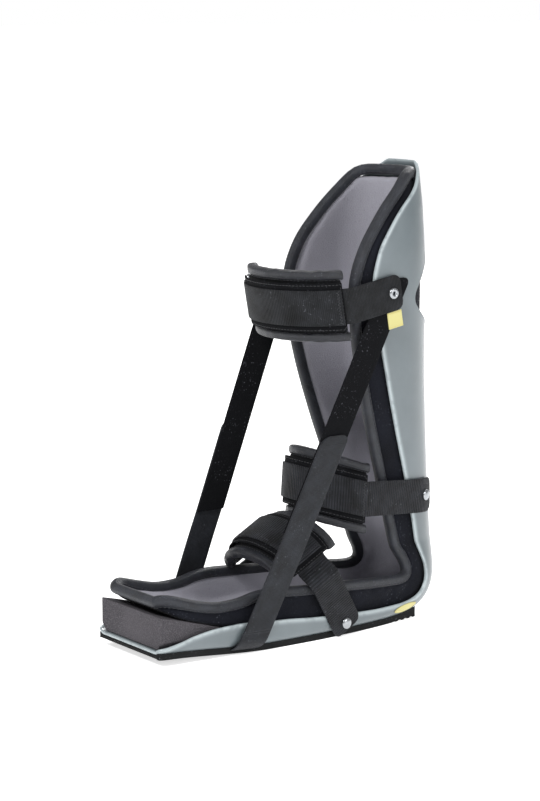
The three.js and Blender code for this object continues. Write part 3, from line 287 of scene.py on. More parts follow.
def foot_x(y, z, offset):
    station = sole_station(y)
    return wall_x(station, z - station.z, offset)


# %% [markdown]
# ## From rings of points to a surface
# A moulding, a strap and a rolled tape are all rings of points joined one to the next. One helper
# joins them, closes the ends, turns the faces outward and keeps a UV map that is measured in metres,
# so that a weave has its real pitch on every strap.

# %% Meshes from rings
CREASE = math.radians(42)


def place_object(name, data):
    made = bpy.data.objects.new(name, data)
    bpy.context.scene.collection.objects.link(made)
    return made


def new_mesh(name, points, edges=(), faces=()):
    """A mesh from points in millimetres."""
    mesh = bpy.data.meshes.new(name)
    mesh.from_pydata((np.asarray(points, dtype=float).reshape(-1, 3) * MM).tolist(), edges, faces)
    return mesh


def add_mark(mesh, label, values):
    mark = mesh.attributes.new(label, "FLOAT", "POINT")
    mark.data.foreach_set("value", np.asarray(values, dtype=float).ravel())


def end_faces(start, around, pairs):
    """The faces that close one end. Pairs is how many points its outer row has, or 0 for one face."""
    if not pairs:
        return [tuple(start + k for k in range(around))]
    arc = (around - 2 * pairs) // 2
    back = pairs + arc

    def inner(k):
        return start + back + pairs - 1 - k

    faces = [(start + k, start + k + 1, inner(k + 1), inner(k)) for k in range(pairs - 1)]
    faces.append(tuple(start + k for k in range(pairs - 1, back + 1)))
    left = [start + k for k in range(back + pairs - 1, around)]
    faces.append((*left, start))
    return faces


def skin(name, rings, uv=None, edge=None, closed=False, pairs=0):
    rings = np.asarray(rings, dtype=float)
    count, around = rings.shape[:2]
    faces = []
    for i in range(count if closed else count - 1):
        here = i * around
        there = ((i + 1) % count) * around
        for k in range(around):
            m = (k + 1) % around
            faces.append((here + k, here + m, there + m, there + k))
    if not closed:
        faces += end_faces(0, around, pairs)
        faces += end_faces((count - 1) * around, around, pairs)
    mesh = new_mesh(name, rings, faces=faces)
    work = bmesh.new()
    work.from_mesh(mesh)
    bmesh.ops.recalc_face_normals(work, faces=work.faces)
    work.to_mesh(mesh)
    work.free()
    if uv is not None:
        corner = np.zeros(len(mesh.loops), dtype=np.int32)
        mesh.loops.foreach_get("vertex_index", corner)
        layer = mesh.uv_layers.new(name="flat")
        flat = np.asarray(uv, dtype=float).reshape(-1, 2) * MM
        layer.data.foreach_set("uv", flat[corner].ravel())
    if edge is not None:
        add_mark(mesh, "edge", edge)
    mesh.shade_smooth()
    mesh.set_sharp_from_angle(angle=CREASE)
    return place_object(name, mesh)


def modify(piece, kind, **settings):
    added = piece.modifiers.new(kind.lower(), kind)
    for label, value in settings.items():
        setattr(added, label, value)
    return added


def settle(piece):
    """Turns a piece with live modifiers into a plain mesh."""
    graph = bpy.context.evaluated_depsgraph_get()
    done = bpy.data.meshes.new_from_object(
        piece.evaluated_get(graph), preserve_all_data_layers=True, depsgraph=graph)
    piece.modifiers.clear()
    piece.data = done


def cut(piece, *cutters):
    """Cuts holes with closed bodies, which are left for the next piece."""
    for cutter in cutters:
        modify(piece, "BOOLEAN", operation="DIFFERENCE", solver="EXACT", object=cutter)
    settle(piece)
    piece.data.set_sharp_from_angle(angle=CREASE)


def dress(piece, finish, slot, *nodes):
    """Gives a piece its material and its body, and hides the solids it stands for. Slot is not used."""
    piece.data.materials.clear()
    piece.data.materials.append(finish)
    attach(piece, "root")
    if nodes:
        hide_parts(*nodes)
    print(f"{piece.name}: {len(piece.data.polygons)} faces, {finish.name}")


# %% [markdown]
# ## Effects that several finishes share
# Grain, weave, lint and a colour along the rims, which is a painted highlight on the shell and a
# rubbed border on the sticker, turn up on plastic, foam cloth and webbing alike. Each is a
# shader node group with its own inputs, so one weave serves a fine twill and a coarse rib.
# The alternative, a copy of the nodes in each material, is harder to correct later.

# %% Small helpers for node trees


def feed(socket, value):
    """Gives a socket a number, or links it to another socket or to a node's first output."""
    if isinstance(value, bpy.types.Node):
        value = value.outputs[0]
    if isinstance(value, bpy.types.NodeSocket):
        socket.id_data.links.new(value, socket)
    else:
        socket.default_value = value


def add_node(tree, kind, takes=None, **settings):
    """A new node. Takes says what goes into each of its inputs."""
    made = tree.nodes.new(kind)
    for name, value in settings.items():
        setattr(made, name, value)
    for label, value in (takes or {}).items():
        feed(made.inputs[label], value)
    return made


def calc(operation, first, second=0.0):
    return add_node(first.id_data, "ShaderNodeMath", {0: first, 1: second}, operation=operation)


def ramp(value, low, high):
    """Stretches a value so that low becomes 0 and high becomes 1."""
    return add_node(value.id_data, "ShaderNodeMapRange", {"Value": value, "From Min": low, "From Max": high})


def cloudy(place, size, detail=3.0):
    """Noise whose lumps are about size millimetres across."""
    return add_node(place.id_data, "ShaderNodeTexNoise", {
        "Vector": place, "Scale": 1000 / size, "Detail": detail})


def new_tree(name, kind, inputs, outputs):
    """A node group, from the labels of its sockets and the kinds of their values."""
    tree = bpy.data.node_groups.new(name, kind)
    for in_out, sockets in (("INPUT", inputs), ("OUTPUT", outputs)):
        for label, value in sockets.items():
            tree.interface.new_socket(label, in_out=in_out, socket_type="NodeSocket" + value)
    return tree, tree.nodes.new("NodeGroupInput").outputs, tree.nodes.new("NodeGroupOutput").inputs


PATTERN = {"Height": "Float", "Shade": "Float"}
MASK = {"Mask": "Float"}

# %% Group: ribs and yarns of a woven tape
weave, given, made = new_tree("ribs and yarns", "ShaderNodeTree", {
    "Place": "Vector", "Ribs per Metre": "Float", "Yarns per Metre": "Float"}, PATTERN)
split = add_node(weave, "ShaderNodeSeparateXYZ", {0: given["Place"]})
rib_count = calc("MULTIPLY", split.outputs["Y"], given["Ribs per Metre"])
yarn_count = calc("MULTIPLY", split.outputs["X"], given["Yarns per Metre"])
rib = calc("ABSOLUTE", calc("SINE", calc("MULTIPLY", rib_count, math.pi)))
shifted = calc("ADD", yarn_count, calc("MULTIPLY", calc("FLOOR", rib_count), 0.5))
yarn = calc("ABSOLUTE", calc("SINE", calc("MULTIPLY", shifted, math.pi)))
uneven = calc("ADD", calc("MULTIPLY", yarn, 0.45), 0.55)
woven = calc("MULTIPLY", calc("POWER", rib, 0.6), uneven)
feed(made["Height"], calc("ADD", woven, calc("MULTIPLY", cloudy(given["Place"], 1.3), 0.35)))
feed(made["Shade"], calc("MULTIPLY", woven, ramp(cloudy(given["Place"], 14.0), 0.25, 0.7)))

# %% Group: grain
grain, given, made = new_tree("grain", "ShaderNodeTree", {
    "Place": "Vector", "Grains per Metre": "Float"}, PATTERN)
feed(made["Height"], add_node(grain, "ShaderNodeTexNoise", {
    "Vector": given["Place"], "Scale": given["Grains per Metre"], "Detail": 4.0}))
feed(made["Shade"], ramp(cloudy(given["Place"], 45.0, 5.0), 0.3, 0.7))

# %% Group: painted rim highlight and rubbed edge wear, from the mark "edge" that a piece carries
highlight_and_wear, given, made = new_tree("rubbed edges", "ShaderNodeTree", {"Place": "Vector", "Edge": "Float"}, MASK)
patchy = ramp(cloudy(given["Place"], 7.0, 5.0), 0.1, 0.5)
feed(made["Mask"], calc("MULTIPLY", calc("POWER", given["Edge"], 2.0), patchy))

# %% Group: lint and dust
lint, given, made = new_tree("lint", "ShaderNodeTree", {"Place": "Vector"}, MASK)
specks = ramp(cloudy(given["Place"], 1.6, 1.0), 0.66, 0.74)
clumps = ramp(cloudy(given["Place"], 24.0, 2.0), 0.45, 0.6)
feed(made["Mask"], calc("MULTIPLY", specks, clumps))

# %% [markdown]
# ## Finishes
# Every finish starts from a Principled shader with its steady numbers on its own sockets. Two colours
# are mixed by a pattern, and a bump node takes the relief, because webbing and cloth at this scale
# need their light broken up more than they need real geometry.

# %% The start of a finish


def paint(code):
    """A colour as on a paint card, such as 8f9b9e, in the linear values that a shader wants."""
    shares = [int(code[i:i + 2], 16) / 255 for i in (0, 2, 4)]
    return (*[s / 12.92 if s <= 0.04045 else ((s + 0.055) / 1.055) ** 2.4 for s in shares], 1)


def feed_all(node, values):
    for label, value in values.items():
        feed(node.inputs[label.replace("_", " ")], value)


def new_finish(name, roughness, **steady):
    material = bpy.data.materials.new(name)
    material.use_nodes = True
    shader = material.node_tree.nodes["Principled BSDF"]
    feed_all(shader, {"Roughness": roughness, **steady})
    return material, shader


def place_of(shader, kind="Object"):
    return add_node(shader.id_data, "ShaderNodeTexCoord").outputs[kind]


def use_group(shader, group, kind="Object", **values):
    made = add_node(shader.id_data, "ShaderNodeGroup", node_tree=group)
    feed_all(made, {"Place": place_of(shader, kind), **values})
    return made.outputs


def cells_of(shader, per_metre):
    return add_node(shader.id_data, "ShaderNodeTexVoronoi", {
        "Vector": place_of(shader), "Scale": per_metre}, feature="F1")


def mark_of(shader, name):
    return add_node(shader.id_data, "ShaderNodeAttribute", attribute_name=name).outputs["Fac"]


def two_tone(dark, light, share):
    """Mixes two colours, each a paint code or a socket."""
    dark, light = (paint(c) if isinstance(c, str) else c for c in (dark, light))
    made = add_node(share.id_data, "ShaderNodeMix", {"Factor": share, 6: dark, 7: light}, data_type="RGBA")
    return made.outputs[2]


def cover(shader, colour, mask, share=1.0):
    """Lays one more colour over the base colour."""
    base = shader.inputs["Base Color"]
    feed(base, two_tone(base.links[0].from_socket, colour, calc("MULTIPLY", mask, share)))


# Lays a colour along a piece's edges: a lighter painted highlight on the shell's rims, a darker rubbed border
# on the sticker.
def edge_highlight_and_wear(shader, colour):
    cover(shader, colour, use_group(shader, highlight_and_wear, Edge=mark_of(shader, "edge"))["Mask"])


def dust(shader, colour, share=1.0):
    cover(shader, colour, use_group(shader, lint)["Mask"], share)


def emboss(shader, height, depth):
    """Relief of a depth in millimetres."""
    feed(shader.inputs["Normal"], add_node(shader.id_data, "ShaderNodeBump", {
        "Distance": depth * MM, "Strength": 1.0, "Height": height}))


def grained(name, roughness, per_metre, dark, light, by, relief=0, **steady):
    """Two colours mixed by a grain's height or shade, with the grain's relief in millimetres."""
    finish, shader = new_finish(name, roughness, **steady)
    texture = use_group(shader, grain, Grains_per_Metre=per_metre)
    feed(shader.inputs["Base Color"], two_tone(dark, light, texture[by]))
    if relief:
        emboss(shader, texture["Height"], relief)
    return finish, shader, texture


# %% Moulded plastic of the shell
shell_plastic, shader, texture = grained(
    "grey moulded plastic", 0.34, 1400.0, "5d666a", "6b7478", "Shade", 0.05,
    Coat_Weight=0.25, Coat_Roughness=0.18)
# The lighter colour along the rims and at both ends of the shell is a painted highlight.
edge_highlight_and_wear(shader, "a3adb0")
feed(shader.inputs["Roughness"], calc("ADD", calc("MULTIPLY", texture["Shade"], 0.1), 0.28))

# %% Rubber of the sole
sole_rubber, shader, texture = grained(
    "black sole rubber", 0.8, 900.0, "0c0d0e", "191a1b", "Shade", 0.18, Specular_IOR_Level=0.2)
dust(shader, "55585a")

# %% Closed-cell foam of the wedge
wedge_foam, shader, texture = grained(
    "charcoal cell foam", 0.92, 500.0, "343336", "4b494d", "Shade", Specular_IOR_Level=0.12)
cells = cells_of(shader, 1100.0)
cover(shader, "5a575b", ramp(cells, 0.35, 0.75))
emboss(shader, cells, 0.3)

# %% Brushed cloth over the foam, lighter on the side that touches the leg


def brushed_cloth(name, dark, light, inner_dark, inner_light):
    finish, shader, nap = grained(
        name, 0.92, 1500.0, dark, light, "Shade",
        Specular_IOR_Level=0.12, Sheen_Weight=0.06, Sheen_Roughness=0.45)
    cover(shader, two_tone(inner_dark, inner_light, nap["Height"]), mark_of(shader, "inside"))
    dust(shader, "6c707a", 0.35)
    emboss(shader, calc("ADD", cells_of(shader, 1300.0), nap["Height"]), 0.28)
    return finish


foam_cloth = brushed_cloth("navy brushed cloth", "0a0b10", "171921", "8c8b94", "aaa9b2")
pad_cloth = brushed_cloth("black pad cloth", "0a0b0c", "141518", "1b1c20", "282a2f")

# %% Webbing, tape and pile


def woven_finish(name, dark, light, ribs, yarns, relief, roughness, shine):
    """Ribs and yarns are pitches in millimetres, and relief is how deep the weave is."""
    finish, shader = new_finish(name, roughness, Specular_IOR_Level=shine, Sheen_Weight=0.03)
    cloth = use_group(shader, weave, "UV", Ribs_per_Metre=1000 / ribs, Yarns_per_Metre=1000 / yarns)
    feed(shader.inputs["Base Color"], two_tone(dark, light, cloth["Shade"]))
    dust(shader, "80838b", 0.3)
    emboss(shader, cloth["Height"], relief)
    return finish


cuff_webbing = woven_finish("fine ribbed webbing", "08090b", "2b2d31", 1.5, 1.1, 0.6, 0.62, 0.18)
smooth_webbing = woven_finish("smooth twill webbing", "101216", "2c2f36", 1.0, 0.7, 0.3, 0.5, 0.25)
ribbed_webbing = woven_finish("coarse ribbed webbing", "07080a", "303238", 2.0, 1.2, 0.7, 0.58, 0.2)
bound_edge = woven_finish("charcoal binding tape", "15171c", "32353e", 0.9, 0.6, 0.2, 0.4, 0.4)
rolled_tape = woven_finish("rolled pad tape", "0d0e12", "292c35", 0.9, 0.7, 0.2, 0.34, 0.45)
loop_pile, shader, texture = grained(
    "black loop pile", 0.98, 1700.0, "060607", "17181b", "Height", 0.5,
    Specular_IOR_Level=0.08, Sheen_Weight=0.02)
dust(shader, "70727a", 0.4)

# %% Steel, thread and yellow label


def thread_finish(name, dark, light):
    return grained(name, 0.6, 3000.0, dark, light, "Height", 0.05, Sheen_Weight=0.2)[0]


bright_steel, shader, texture = grained(
    "nickelled steel", 0.24, 2500.0, "83868a", "c2c5c8", "Height", 0.02, Metallic=1.0)
feed(shader.inputs["Roughness"], calc("MULTIPLY", texture["Height"], 0.5))
grey_thread = thread_finish("grey thread", "101216", "2c2f36")
black_thread = thread_finish("black thread", "101114", "2a2c31")
yellow_thread = thread_finish("yellow thread", "b89a2c", "d9c24e")
yellow_label, shader, texture = grained(
    "yellow satin", 0.5, 1800.0, "bdb572", "cbc483", "Shade", 0.06, Sheen_Weight=0.1)
edge_highlight_and_wear(shader, "a89e60")

# %% [markdown]
# ## Geometry Nodes for stitches and pile
# Stitches follow a path and pile covers a surface, so each has one small tree that repeats one
# small shape. Placing thousands of stitches by hand would be slower and could never follow a
# later change of the path.

# %% Helpers for the repeating trees
SHAPE = {"Geometry": "Geometry"}


def finish_copies(given, made, copies):
    real = add_node(copies.id_data, "GeometryNodeRealizeInstances", {0: copies})
    feed(made["Geometry"], add_node(copies.id_data, "GeometryNodeSetMaterial", {
        "Geometry": real, "Material": given["Finish"]}))


def repeat_on(mesh, tree, finish, slot, **values):
    """Runs a repeating tree on a mesh and keeps the plain mesh that it makes."""
    piece = place_object(mesh.name, mesh)
    work = modify(piece, "NODES", node_group=tree)
    values["Finish"] = finish
    for item in tree.interface.items_tree:
        label = item.name.replace(" ", "_")
        if item.in_out == "INPUT" and label in values:
            work[item.identifier] = values[label]
    settle(piece)
    piece.data.shade_smooth()
    dress(piece, finish, slot)


# %% Tree: a run of stitches
stitcher, given, made = new_tree("run of stitches", "GeometryNodeTree", {
    **SHAPE, "Pitch": "Float", "Thread": "Float", "Stitch": "Float", "Finish": "Material"}, SHAPE)
as_curve = add_node(stitcher, "GeometryNodeMeshToCurve", {0: given["Geometry"]})
evened = add_node(stitcher, "GeometryNodeResampleCurve", {
    "Curve": as_curve, "Length": given["Pitch"]}, mode="LENGTH")
bead = add_node(stitcher, "GeometryNodeMeshUVSphere", {"Segments": 6, "Rings": 4, "Radius": 1.0})
shape = add_node(stitcher, "ShaderNodeCombineXYZ", {
    "X": given["Thread"], "Y": given["Thread"], "Z": given["Stitch"]})
long_bead = add_node(stitcher, "GeometryNodeTransform", {"Geometry": bead, "Scale": shape})
along = add_node(stitcher, "GeometryNodeInputTangent")
turn = add_node(stitcher, "FunctionNodeAlignRotationToVector", {"Vector": along}, axis="Z")
finish_copies(given, made, add_node(stitcher, "GeometryNodeInstanceOnPoints", {
    "Points": evened, "Instance": long_bead, "Rotation": turn}))


def sew(name, runs, finish, pitch=3.6, stitch=1.35, thread=0.32):
    """Stitches along one or more runs of points."""
    edges = []
    first = 0
    for run in runs:
        edges += [(i, i + 1) for i in range(first, first + len(run) - 1)]
        first += len(run)
    mesh = new_mesh(name, [tuple(p) for run in runs for p in run], edges)
    repeat_on(mesh, stitcher, finish, "bound_edge", Pitch=pitch * MM, Thread=thread * MM, Stitch=stitch * MM)


# %% Tree: loops of pile over a surface
piler, given, made = new_tree("loop pile", "GeometryNodeTree", {
    **SHAPE, "Loops per Square Metre": "Float", "Loop": "Object", "Seed": "Int", "Finish": "Material"}, SHAPE)
scatter = add_node(piler, "GeometryNodeDistributePointsOnFaces", {
    "Mesh": given["Geometry"], "Density": given["Loops per Square Metre"], "Seed": given["Seed"]})
loop_shape = add_node(piler, "GeometryNodeObjectInfo", {"Object": given["Loop"]})
spin = add_node(piler, "FunctionNodeRandomValue", {
    0: (-0.5, -0.5, 0.0), 1: (0.5, 0.5, 6.28)}, data_type="FLOAT_VECTOR")
size = add_node(piler, "FunctionNodeRandomValue", {2: 0.7, 3: 1.2}, data_type="FLOAT")
tilt = add_node(piler, "FunctionNodeRotateRotation", {
    "Rotation": scatter.outputs["Rotation"], "Rotate By": spin}, rotation_space="LOCAL")
finish_copies(given, made, add_node(piler, "GeometryNodeInstanceOnPoints", {
    "Points": scatter, "Instance": loop_shape.outputs["Geometry"],
    "Rotation": tilt, "Scale": size.outputs[1]}))


def small_loop():
    """One loop of pile, 0.9 mm tall, as a three-sided arch with closed feet."""
    rings = []
    sideways = np.array([0, 1, 0])
    for t in spread(0, math.pi, 4):
        centre = np.array([0.42 * math.cos(t), 0, 0.9 * math.sin(t) - 0.1])
        outward = np.array([math.cos(t), 0, math.sin(t)])
        rings.append([centre + 0.1 * (math.cos(a) * outward + math.sin(a) * sideways)
                      for a in (0, 2.094, 4.189)])
    return skin("one_loop", rings)


one_loop = small_loop()


def grow_pile(name, rows, finish, seed, density):
    """Pile over a grid of points, with density as loops per square millimetre."""
    rows = np.asarray(rows, dtype=float)
    count, width = rows.shape[:2]
    faces = [(i * width + k, i * width + k + 1, (i + 1) * width + k + 1, (i + 1) * width + k)
             for i in range(count - 1) for k in range(width - 1)]
    repeat_on(new_mesh(name, rows, faces=faces), piler, finish, "loop_pile",
              Loops_per_Square_Metre=density * 1e6, Loop=one_loop, Seed=seed)


# %% [markdown]
# ## Soft forms
# Foam under cloth swells between its seams. A piece starts a little thin, is remeshed into even
# cells and is blown up for twenty frames as cloth under a light pressure. How far a point may
# move is capped, so the foam keeps its place between the shell and the straps.

# %% Puffing a piece up
PRESSURE = 4
SWELL_CAP = 0.9


def points_of(mesh):
    found = np.zeros(len(mesh.vertices) * 3)
    mesh.vertices.foreach_get("co", found)
    return found.reshape(-1, 3)


def swell(piece):
    before = points_of(piece.data)
    cloth = modify(piece, "CLOTH")
    cloth.settings.use_pressure = True
    cloth.settings.uniform_pressure_force = PRESSURE
    cloth.settings.effector_weights.gravity = 0
    cloth.settings.quality = 4
    cloth.settings.tension_stiffness = 20
    cloth.settings.compression_stiffness = 20
    cloth.settings.bending_stiffness = 2
    for number in range(1, 21):
        bpy.context.scene.frame_set(number)
    settle(piece)
    bpy.context.scene.frame_set(1)
    move = points_of(piece.data) - before
    length = np.linalg.norm(move, axis=1, keepdims=True)
    move *= np.minimum(1, SWELL_CAP * MM / np.maximum(length, 1e-9))
    piece.data.vertices.foreach_set("co", (before + move).ravel())
    print(f"{piece.name} swelled by {length.mean() / MM:.2f} mm, capped at {SWELL_CAP} mm")


def puff(piece, voxel):
    modify(piece, "REMESH", mode="VOXEL", voxel_size=voxel * MM)
    settle(piece)
    swell(piece)
    modify(piece, "SUBSURF", levels=1, render_levels=1)
    settle(piece)
    piece.data.shade_smooth()


def mark_inside(piece, inner_points, outer_points):
    """Marks with 1 what lies nearer to the inner points than to the outer ones, with a soft border."""
    trees = []
    for points in (inner_points, outer_points):
        tree = kdtree.KDTree(len(points))
        for i, point in enumerate(points):
            tree.insert(Vector(point) * MM, i)
        tree.balance()
        trees.append(tree)
    near = np.array([[tree.find(v.co)[2] for tree in trees] for v in piece.data.vertices])
    add_mark(piece.data, "inside", np.clip(0.5 + (near[:, 1] - near[:, 0]) / (2.5 * MM), 0, 1))


# %% [markdown]
# ## The shell
# The trough is injection moulded with a 3 mm wall and a fully rounded rim. Lofting a thin section
# from the toes to the tongue gives that wall directly. The egg-shaped vent is a real cut, and a
# small bead round it stands for the moulded lip.

# %% Rows of the trough
QUARTERS = (0.79, 1.57, 2.36)


def both_ways(*legs):
    """Shares from -1 to 1, the same on both sides of the middle."""
    half = run_of(0, *legs)
    return [-s for s in half[:0:-1]] + half


SIDES = both_ways((FLAT_END, 3), (CORNER_END, 16), (1, 9))


def trough_ring(station, outer, inner, height):
    """One closed section of a trough: outer face, rounded rim, inner face, rounded rim."""
    out = np.array([section_point(station, outer, height, s) for s in SIDES])
    back = np.array([section_point(station, inner, height, s) for s in SIDES])

    def rim(a, b, before):
        middle = (a + b) / 2
        arm = a - middle
        rise = a - before
        rise *= np.linalg.norm(arm) / max(np.linalg.norm(rise), 1e-6)
        return [middle + arm * math.cos(t) + rise * math.sin(t) for t in QUARTERS]

    return np.vstack([out, rim(out[-1], back[-1], out[-2]), back[::-1], rim(back[0], out[0], back[1])])


def edge_mark(ring, width):
    """Falls from 1 on the rims to 0 at some distance from them."""
    lengths = np.linalg.norm(np.diff(ring[:len(SIDES)], axis=0), axis=1)
    from_left = np.concatenate([[0], np.cumsum(lengths)])
    near = np.minimum(from_left, from_left[-1] - from_left)
    face = np.clip(1 - near / width, 0, 1)
    return np.concatenate([face, [1, 1, 1], face[::-1], [1, 1, 1]])


# %% Lofting the shell
EDGE_WIDTH = 4
FAR = 99
end_rows = [(HALF_WALL * (1 - math.sin(a)), HALF_WALL * (1 - math.cos(a)))
            for a in np.radians((80, 60, 40, 20, 0))]
shell_rows = [(back / SOLE_RUN, inset) for back, inset in end_rows]
shell_rows += [(place, 0) for place in run_of(
    0.012, (1, 80), (2, 34), (2.975, 110), (3 - HALF_WALL / LEG_RUN, 6))[:-1]]
shell_rows += [(3 - back / LEG_RUN, inset) for back, inset in reversed(end_rows)]
rings = []
edges = []
for place, inset in shell_rows:
    station = station_at(place)
    ring = trough_ring(station, inset, SHELL_WALL - inset, station.rim - HALF_WALL)
    rings.append(ring)
    # The mark "edge" is 1 on the rims and at both ends; the finish paints a lighter highlight there.
    from_front = place * SOLE_RUN if place < 1 else FAR
    from_top = (3 - place) * LEG_RUN if place > 2 else FAR
    ends = clamp(1 - min(from_front, from_top) / EDGE_WIDTH, 0, 1)
    edges.append(np.maximum(edge_mark(ring, EDGE_WIDTH), ends))
trough = skin("moulded_shell", rings, edge=edges, pairs=len(SIDES))
print("shell rows", len(rings), "points round a section", len(rings[0]))

# %% The vent in the back, and its lip
VENT_HALF = 50
VENT_RISE = 42
VENT_DEPTH = 52
VENT_Z = BASE_Z + 0.737 * SHELL_HEIGHT


def vent_outline(angle, grow=0):
    lift = math.sin(angle)
    x = (VENT_HALF + grow) * math.cos(angle) * (1 - 0.28 * lift - 0.1 * lift * lift)
    return x, VENT_Z + (VENT_RISE + grow) * lift


def back_y(x, z, offset):
    """Where the shell's back is, at a place seen from behind."""
    station = leg_station(z)
    flat = station.half - station.across
    lean = clamp((abs(x) - flat) / (station.across - offset), 0, 0.999)
    return station.y - offset - (station.inward - offset) * (1 - math.sqrt(1 - lean * lean))


outline = [vent_outline(t) for t in turns_of(96)]
vent_cutter = skin("vent_cutter", [[(x, y, z) for x, z in outline]
                                   for y in (HEEL_Y + 5, HEEL_Y - VENT_DEPTH)])

# %% [markdown]
# ## Tubes and rolled tape
# A wire ring, a bead and a binding are all a section carried along a path. The helper keeps the
# section's first axis turned toward a given side, which a plain curve bevel does not promise.

# %% Carrying a section along a path


def axes_along(centres, sides):
    """For each point of a closed path, itself and the directions beside it and above it."""
    found = []
    for i, centre in enumerate(centres):
        along = unit(centres[(i + 1) % len(centres)] - centres[i - 1])
        beside = unit(sides[i] - along * np.dot(sides[i], along))
        found.append((centre, beside, np.cross(along, beside)))
    return found


def sweep(name, centres, sides, section):
    """A closed tube. Section points are (beside, above) in millimetres."""
    centres = np.asarray(centres, dtype=float)
    rings = [[centre + beside * u + above * v for u, v in section]
             for centre, beside, above in axes_along(centres, np.asarray(sides, dtype=float))]
    around = [0, *np.cumsum([math.dist(a, b) for a, b in zip(section, section[1:])])]
    runs = [0, *np.cumsum(np.linalg.norm(np.diff(centres, axis=0), axis=1))]
    return skin(name, rings, uv=[[(u, run) for u in around] for run in runs], closed=True)


def oval(beside, above, corners, squareness=2.0):
    """A section between an ellipse, at squareness 2, and a rounded box."""
    return [tuple(reach * math.copysign(abs(c) ** (2 / squareness), c)
                  for reach, c in ((beside, math.cos(t)), (above, math.sin(t)))) for t in turns_of(corners)]


# %% The lip round the vent
lip = [vent_outline(t, -0.2) for t in turns_of(96)]
vent_lip = sweep("vent_lip", [(x, back_y(x, z, HALF_WALL), z) for x, z in lip],
                 [(math.cos(t), 0, math.sin(t)) for t in turns_of(96)], oval(1.5, 1.9, 12))
dress(vent_lip, shell_plastic, "shell_plastic")

# %% [markdown]
# ## The cuffs' rule
# A point of a cuff is s along the strap from the front of the leg, o outward from the pad's inner
# face, and k up across the strap. All layers of a cuff, from the pad to the folded strap end, are
# drawn in these three numbers, so they bend together round the leg.

# %% The three cuffs
CUFFS = {
    "shin": SimpleNamespace(
        wall="shin", up=0.675, depth=0.79, pitch=-10, run=42, leaves=12, lift=7, front_half=47.7,
        front_depth=39, pad_near=-6, pad_far=-37, fold_near=6, ring_behind=8, tail=9,
        ease=WEBBING + GAP, eyelet=True),
    "ankle": SimpleNamespace(
        wall="leg", up=0.122, depth=0.54, pitch=4, run=66, leaves=24, lift=10.5, front_half=33,
        front_depth=34, pad_near=2, pad_far=-10, fold_near=4, ring_behind=9, tail=9,
        ease=0.8, eyelet=False),
    "instep": SimpleNamespace(
        wall="foot", up=0.775, depth=0.5, pitch=61, run=60, leaves=44, lift=0, front_half=35,
        front_depth=16, pad_near=1, pad_far=0, fold_near=10, ring_behind=9, tail=6,
        ease=0, eyelet=False),
}
STRAP_IN = FOAM + GAP
STRAP_MID = STRAP_IN + WEBBING / 2
FACING = 1.2
FACING_IN = STRAP_IN + WEBBING + GAP
FOLD_IN = FACING_IN + FACING + GAP
RING_LENGTH = 11
for cuff in CUFFS.values():
    station = station_at(cuff.up if cuff.wall == "foot" else 2 + cuff.up)
    cuff.rivet_y = station.y + station.in_y * cuff.depth * station.rim
    cuff.rivet_z = station.z + station.in_z * cuff.depth * station.rim
    cuff.angle = math.radians(cuff.pitch)
    wide = cuff.front_half + STRAP_IN
    deep = cuff.front_depth + STRAP_IN
    cuff.quarter = (math.pi / 2) * math.sqrt((wide ** 2 + deep ** 2) / 2)
    cuff.rivet_s = cuff.quarter + cuff.run
    cuff.left = cuff.quarter + cuff.pad_near
    cuff.right = -(cuff.quarter + cuff.pad_far)
    cuff.ring_front = cuff.right - cuff.ring_behind
    cuff.ring_back = cuff.ring_front - RING_LENGTH
    cuff.fold_end = cuff.left - cuff.fold_near


def on_wall(cuff, y, z, offset):
    if cuff.wall == "shin":
        return CALF_HALF - offset
    if cuff.wall == "leg":
        return leg_x(y, z, offset)
    return foot_x(y, BASE_Z + TOE_SPRING + SOLE_CORNER, offset)


def cuff_line(cuff, s, k):
    past = abs(s) - cuff.quarter
    angle = clamp(abs(s) / cuff.quarter, 0, 1) * math.pi / 2
    reach = cuff.front_depth + STRAP_IN
    wide = cuff.front_half + STRAP_IN
    forward = cuff.run - past if past > 0 else cuff.run + reach * math.cos(angle)
    y = cuff.rivet_y - forward * math.cos(cuff.angle) + k * math.sin(cuff.angle)
    z = cuff.rivet_z + forward * math.sin(cuff.angle) + k * math.cos(cuff.angle)
    z += cuff.lift * math.cos(angle)
    x = wide * math.sin(angle)
    if past > 0:
        wall = on_wall(cuff, y, z, -(GAP + cuff.ease))
        x = mix(wide, wall, smooth(clamp(past / (cuff.run - cuff.leaves), 0, 1)))
    return np.array([math.copysign(x, s if s else 1), y, z])


def cuff_point(cuff, s, o, k):
    along = cuff_line(cuff, s + 0.5, k) - cuff_line(cuff, s - 0.5, k)
    outward = unit(np.cross(along, (0, math.sin(cuff.angle), math.cos(cuff.angle))))
    return cuff_line(cuff, s, k) + outward * (o - STRAP_IN)


# %% [markdown]
# ## Bands
# Webbing is a flat band with soft selvages. Each row is a closed flat ring: the face, a rounded
# edge, the back and the other edge. A real simulation would erase so thin a band, so it is drawn
# directly.

# %% A band along a cuff


def band_profile(half, thickness, columns=6):
    """A flat ring of (across, out) points with rounded edges."""
    r = thickness / 2
    flat = half - r
    face = [(u, r) for u in spread(-flat, flat, columns)]
    right = [(flat + r * math.cos(t), r * math.sin(t)) for t in (0.79, 0, -0.79)]
    back = [(u, -r) for u in spread(flat, -flat, columns)]
    left = [(-flat - r * math.cos(t), r * math.sin(t)) for t in (-0.79, 0, 0.79)]
    return face + right + back + left


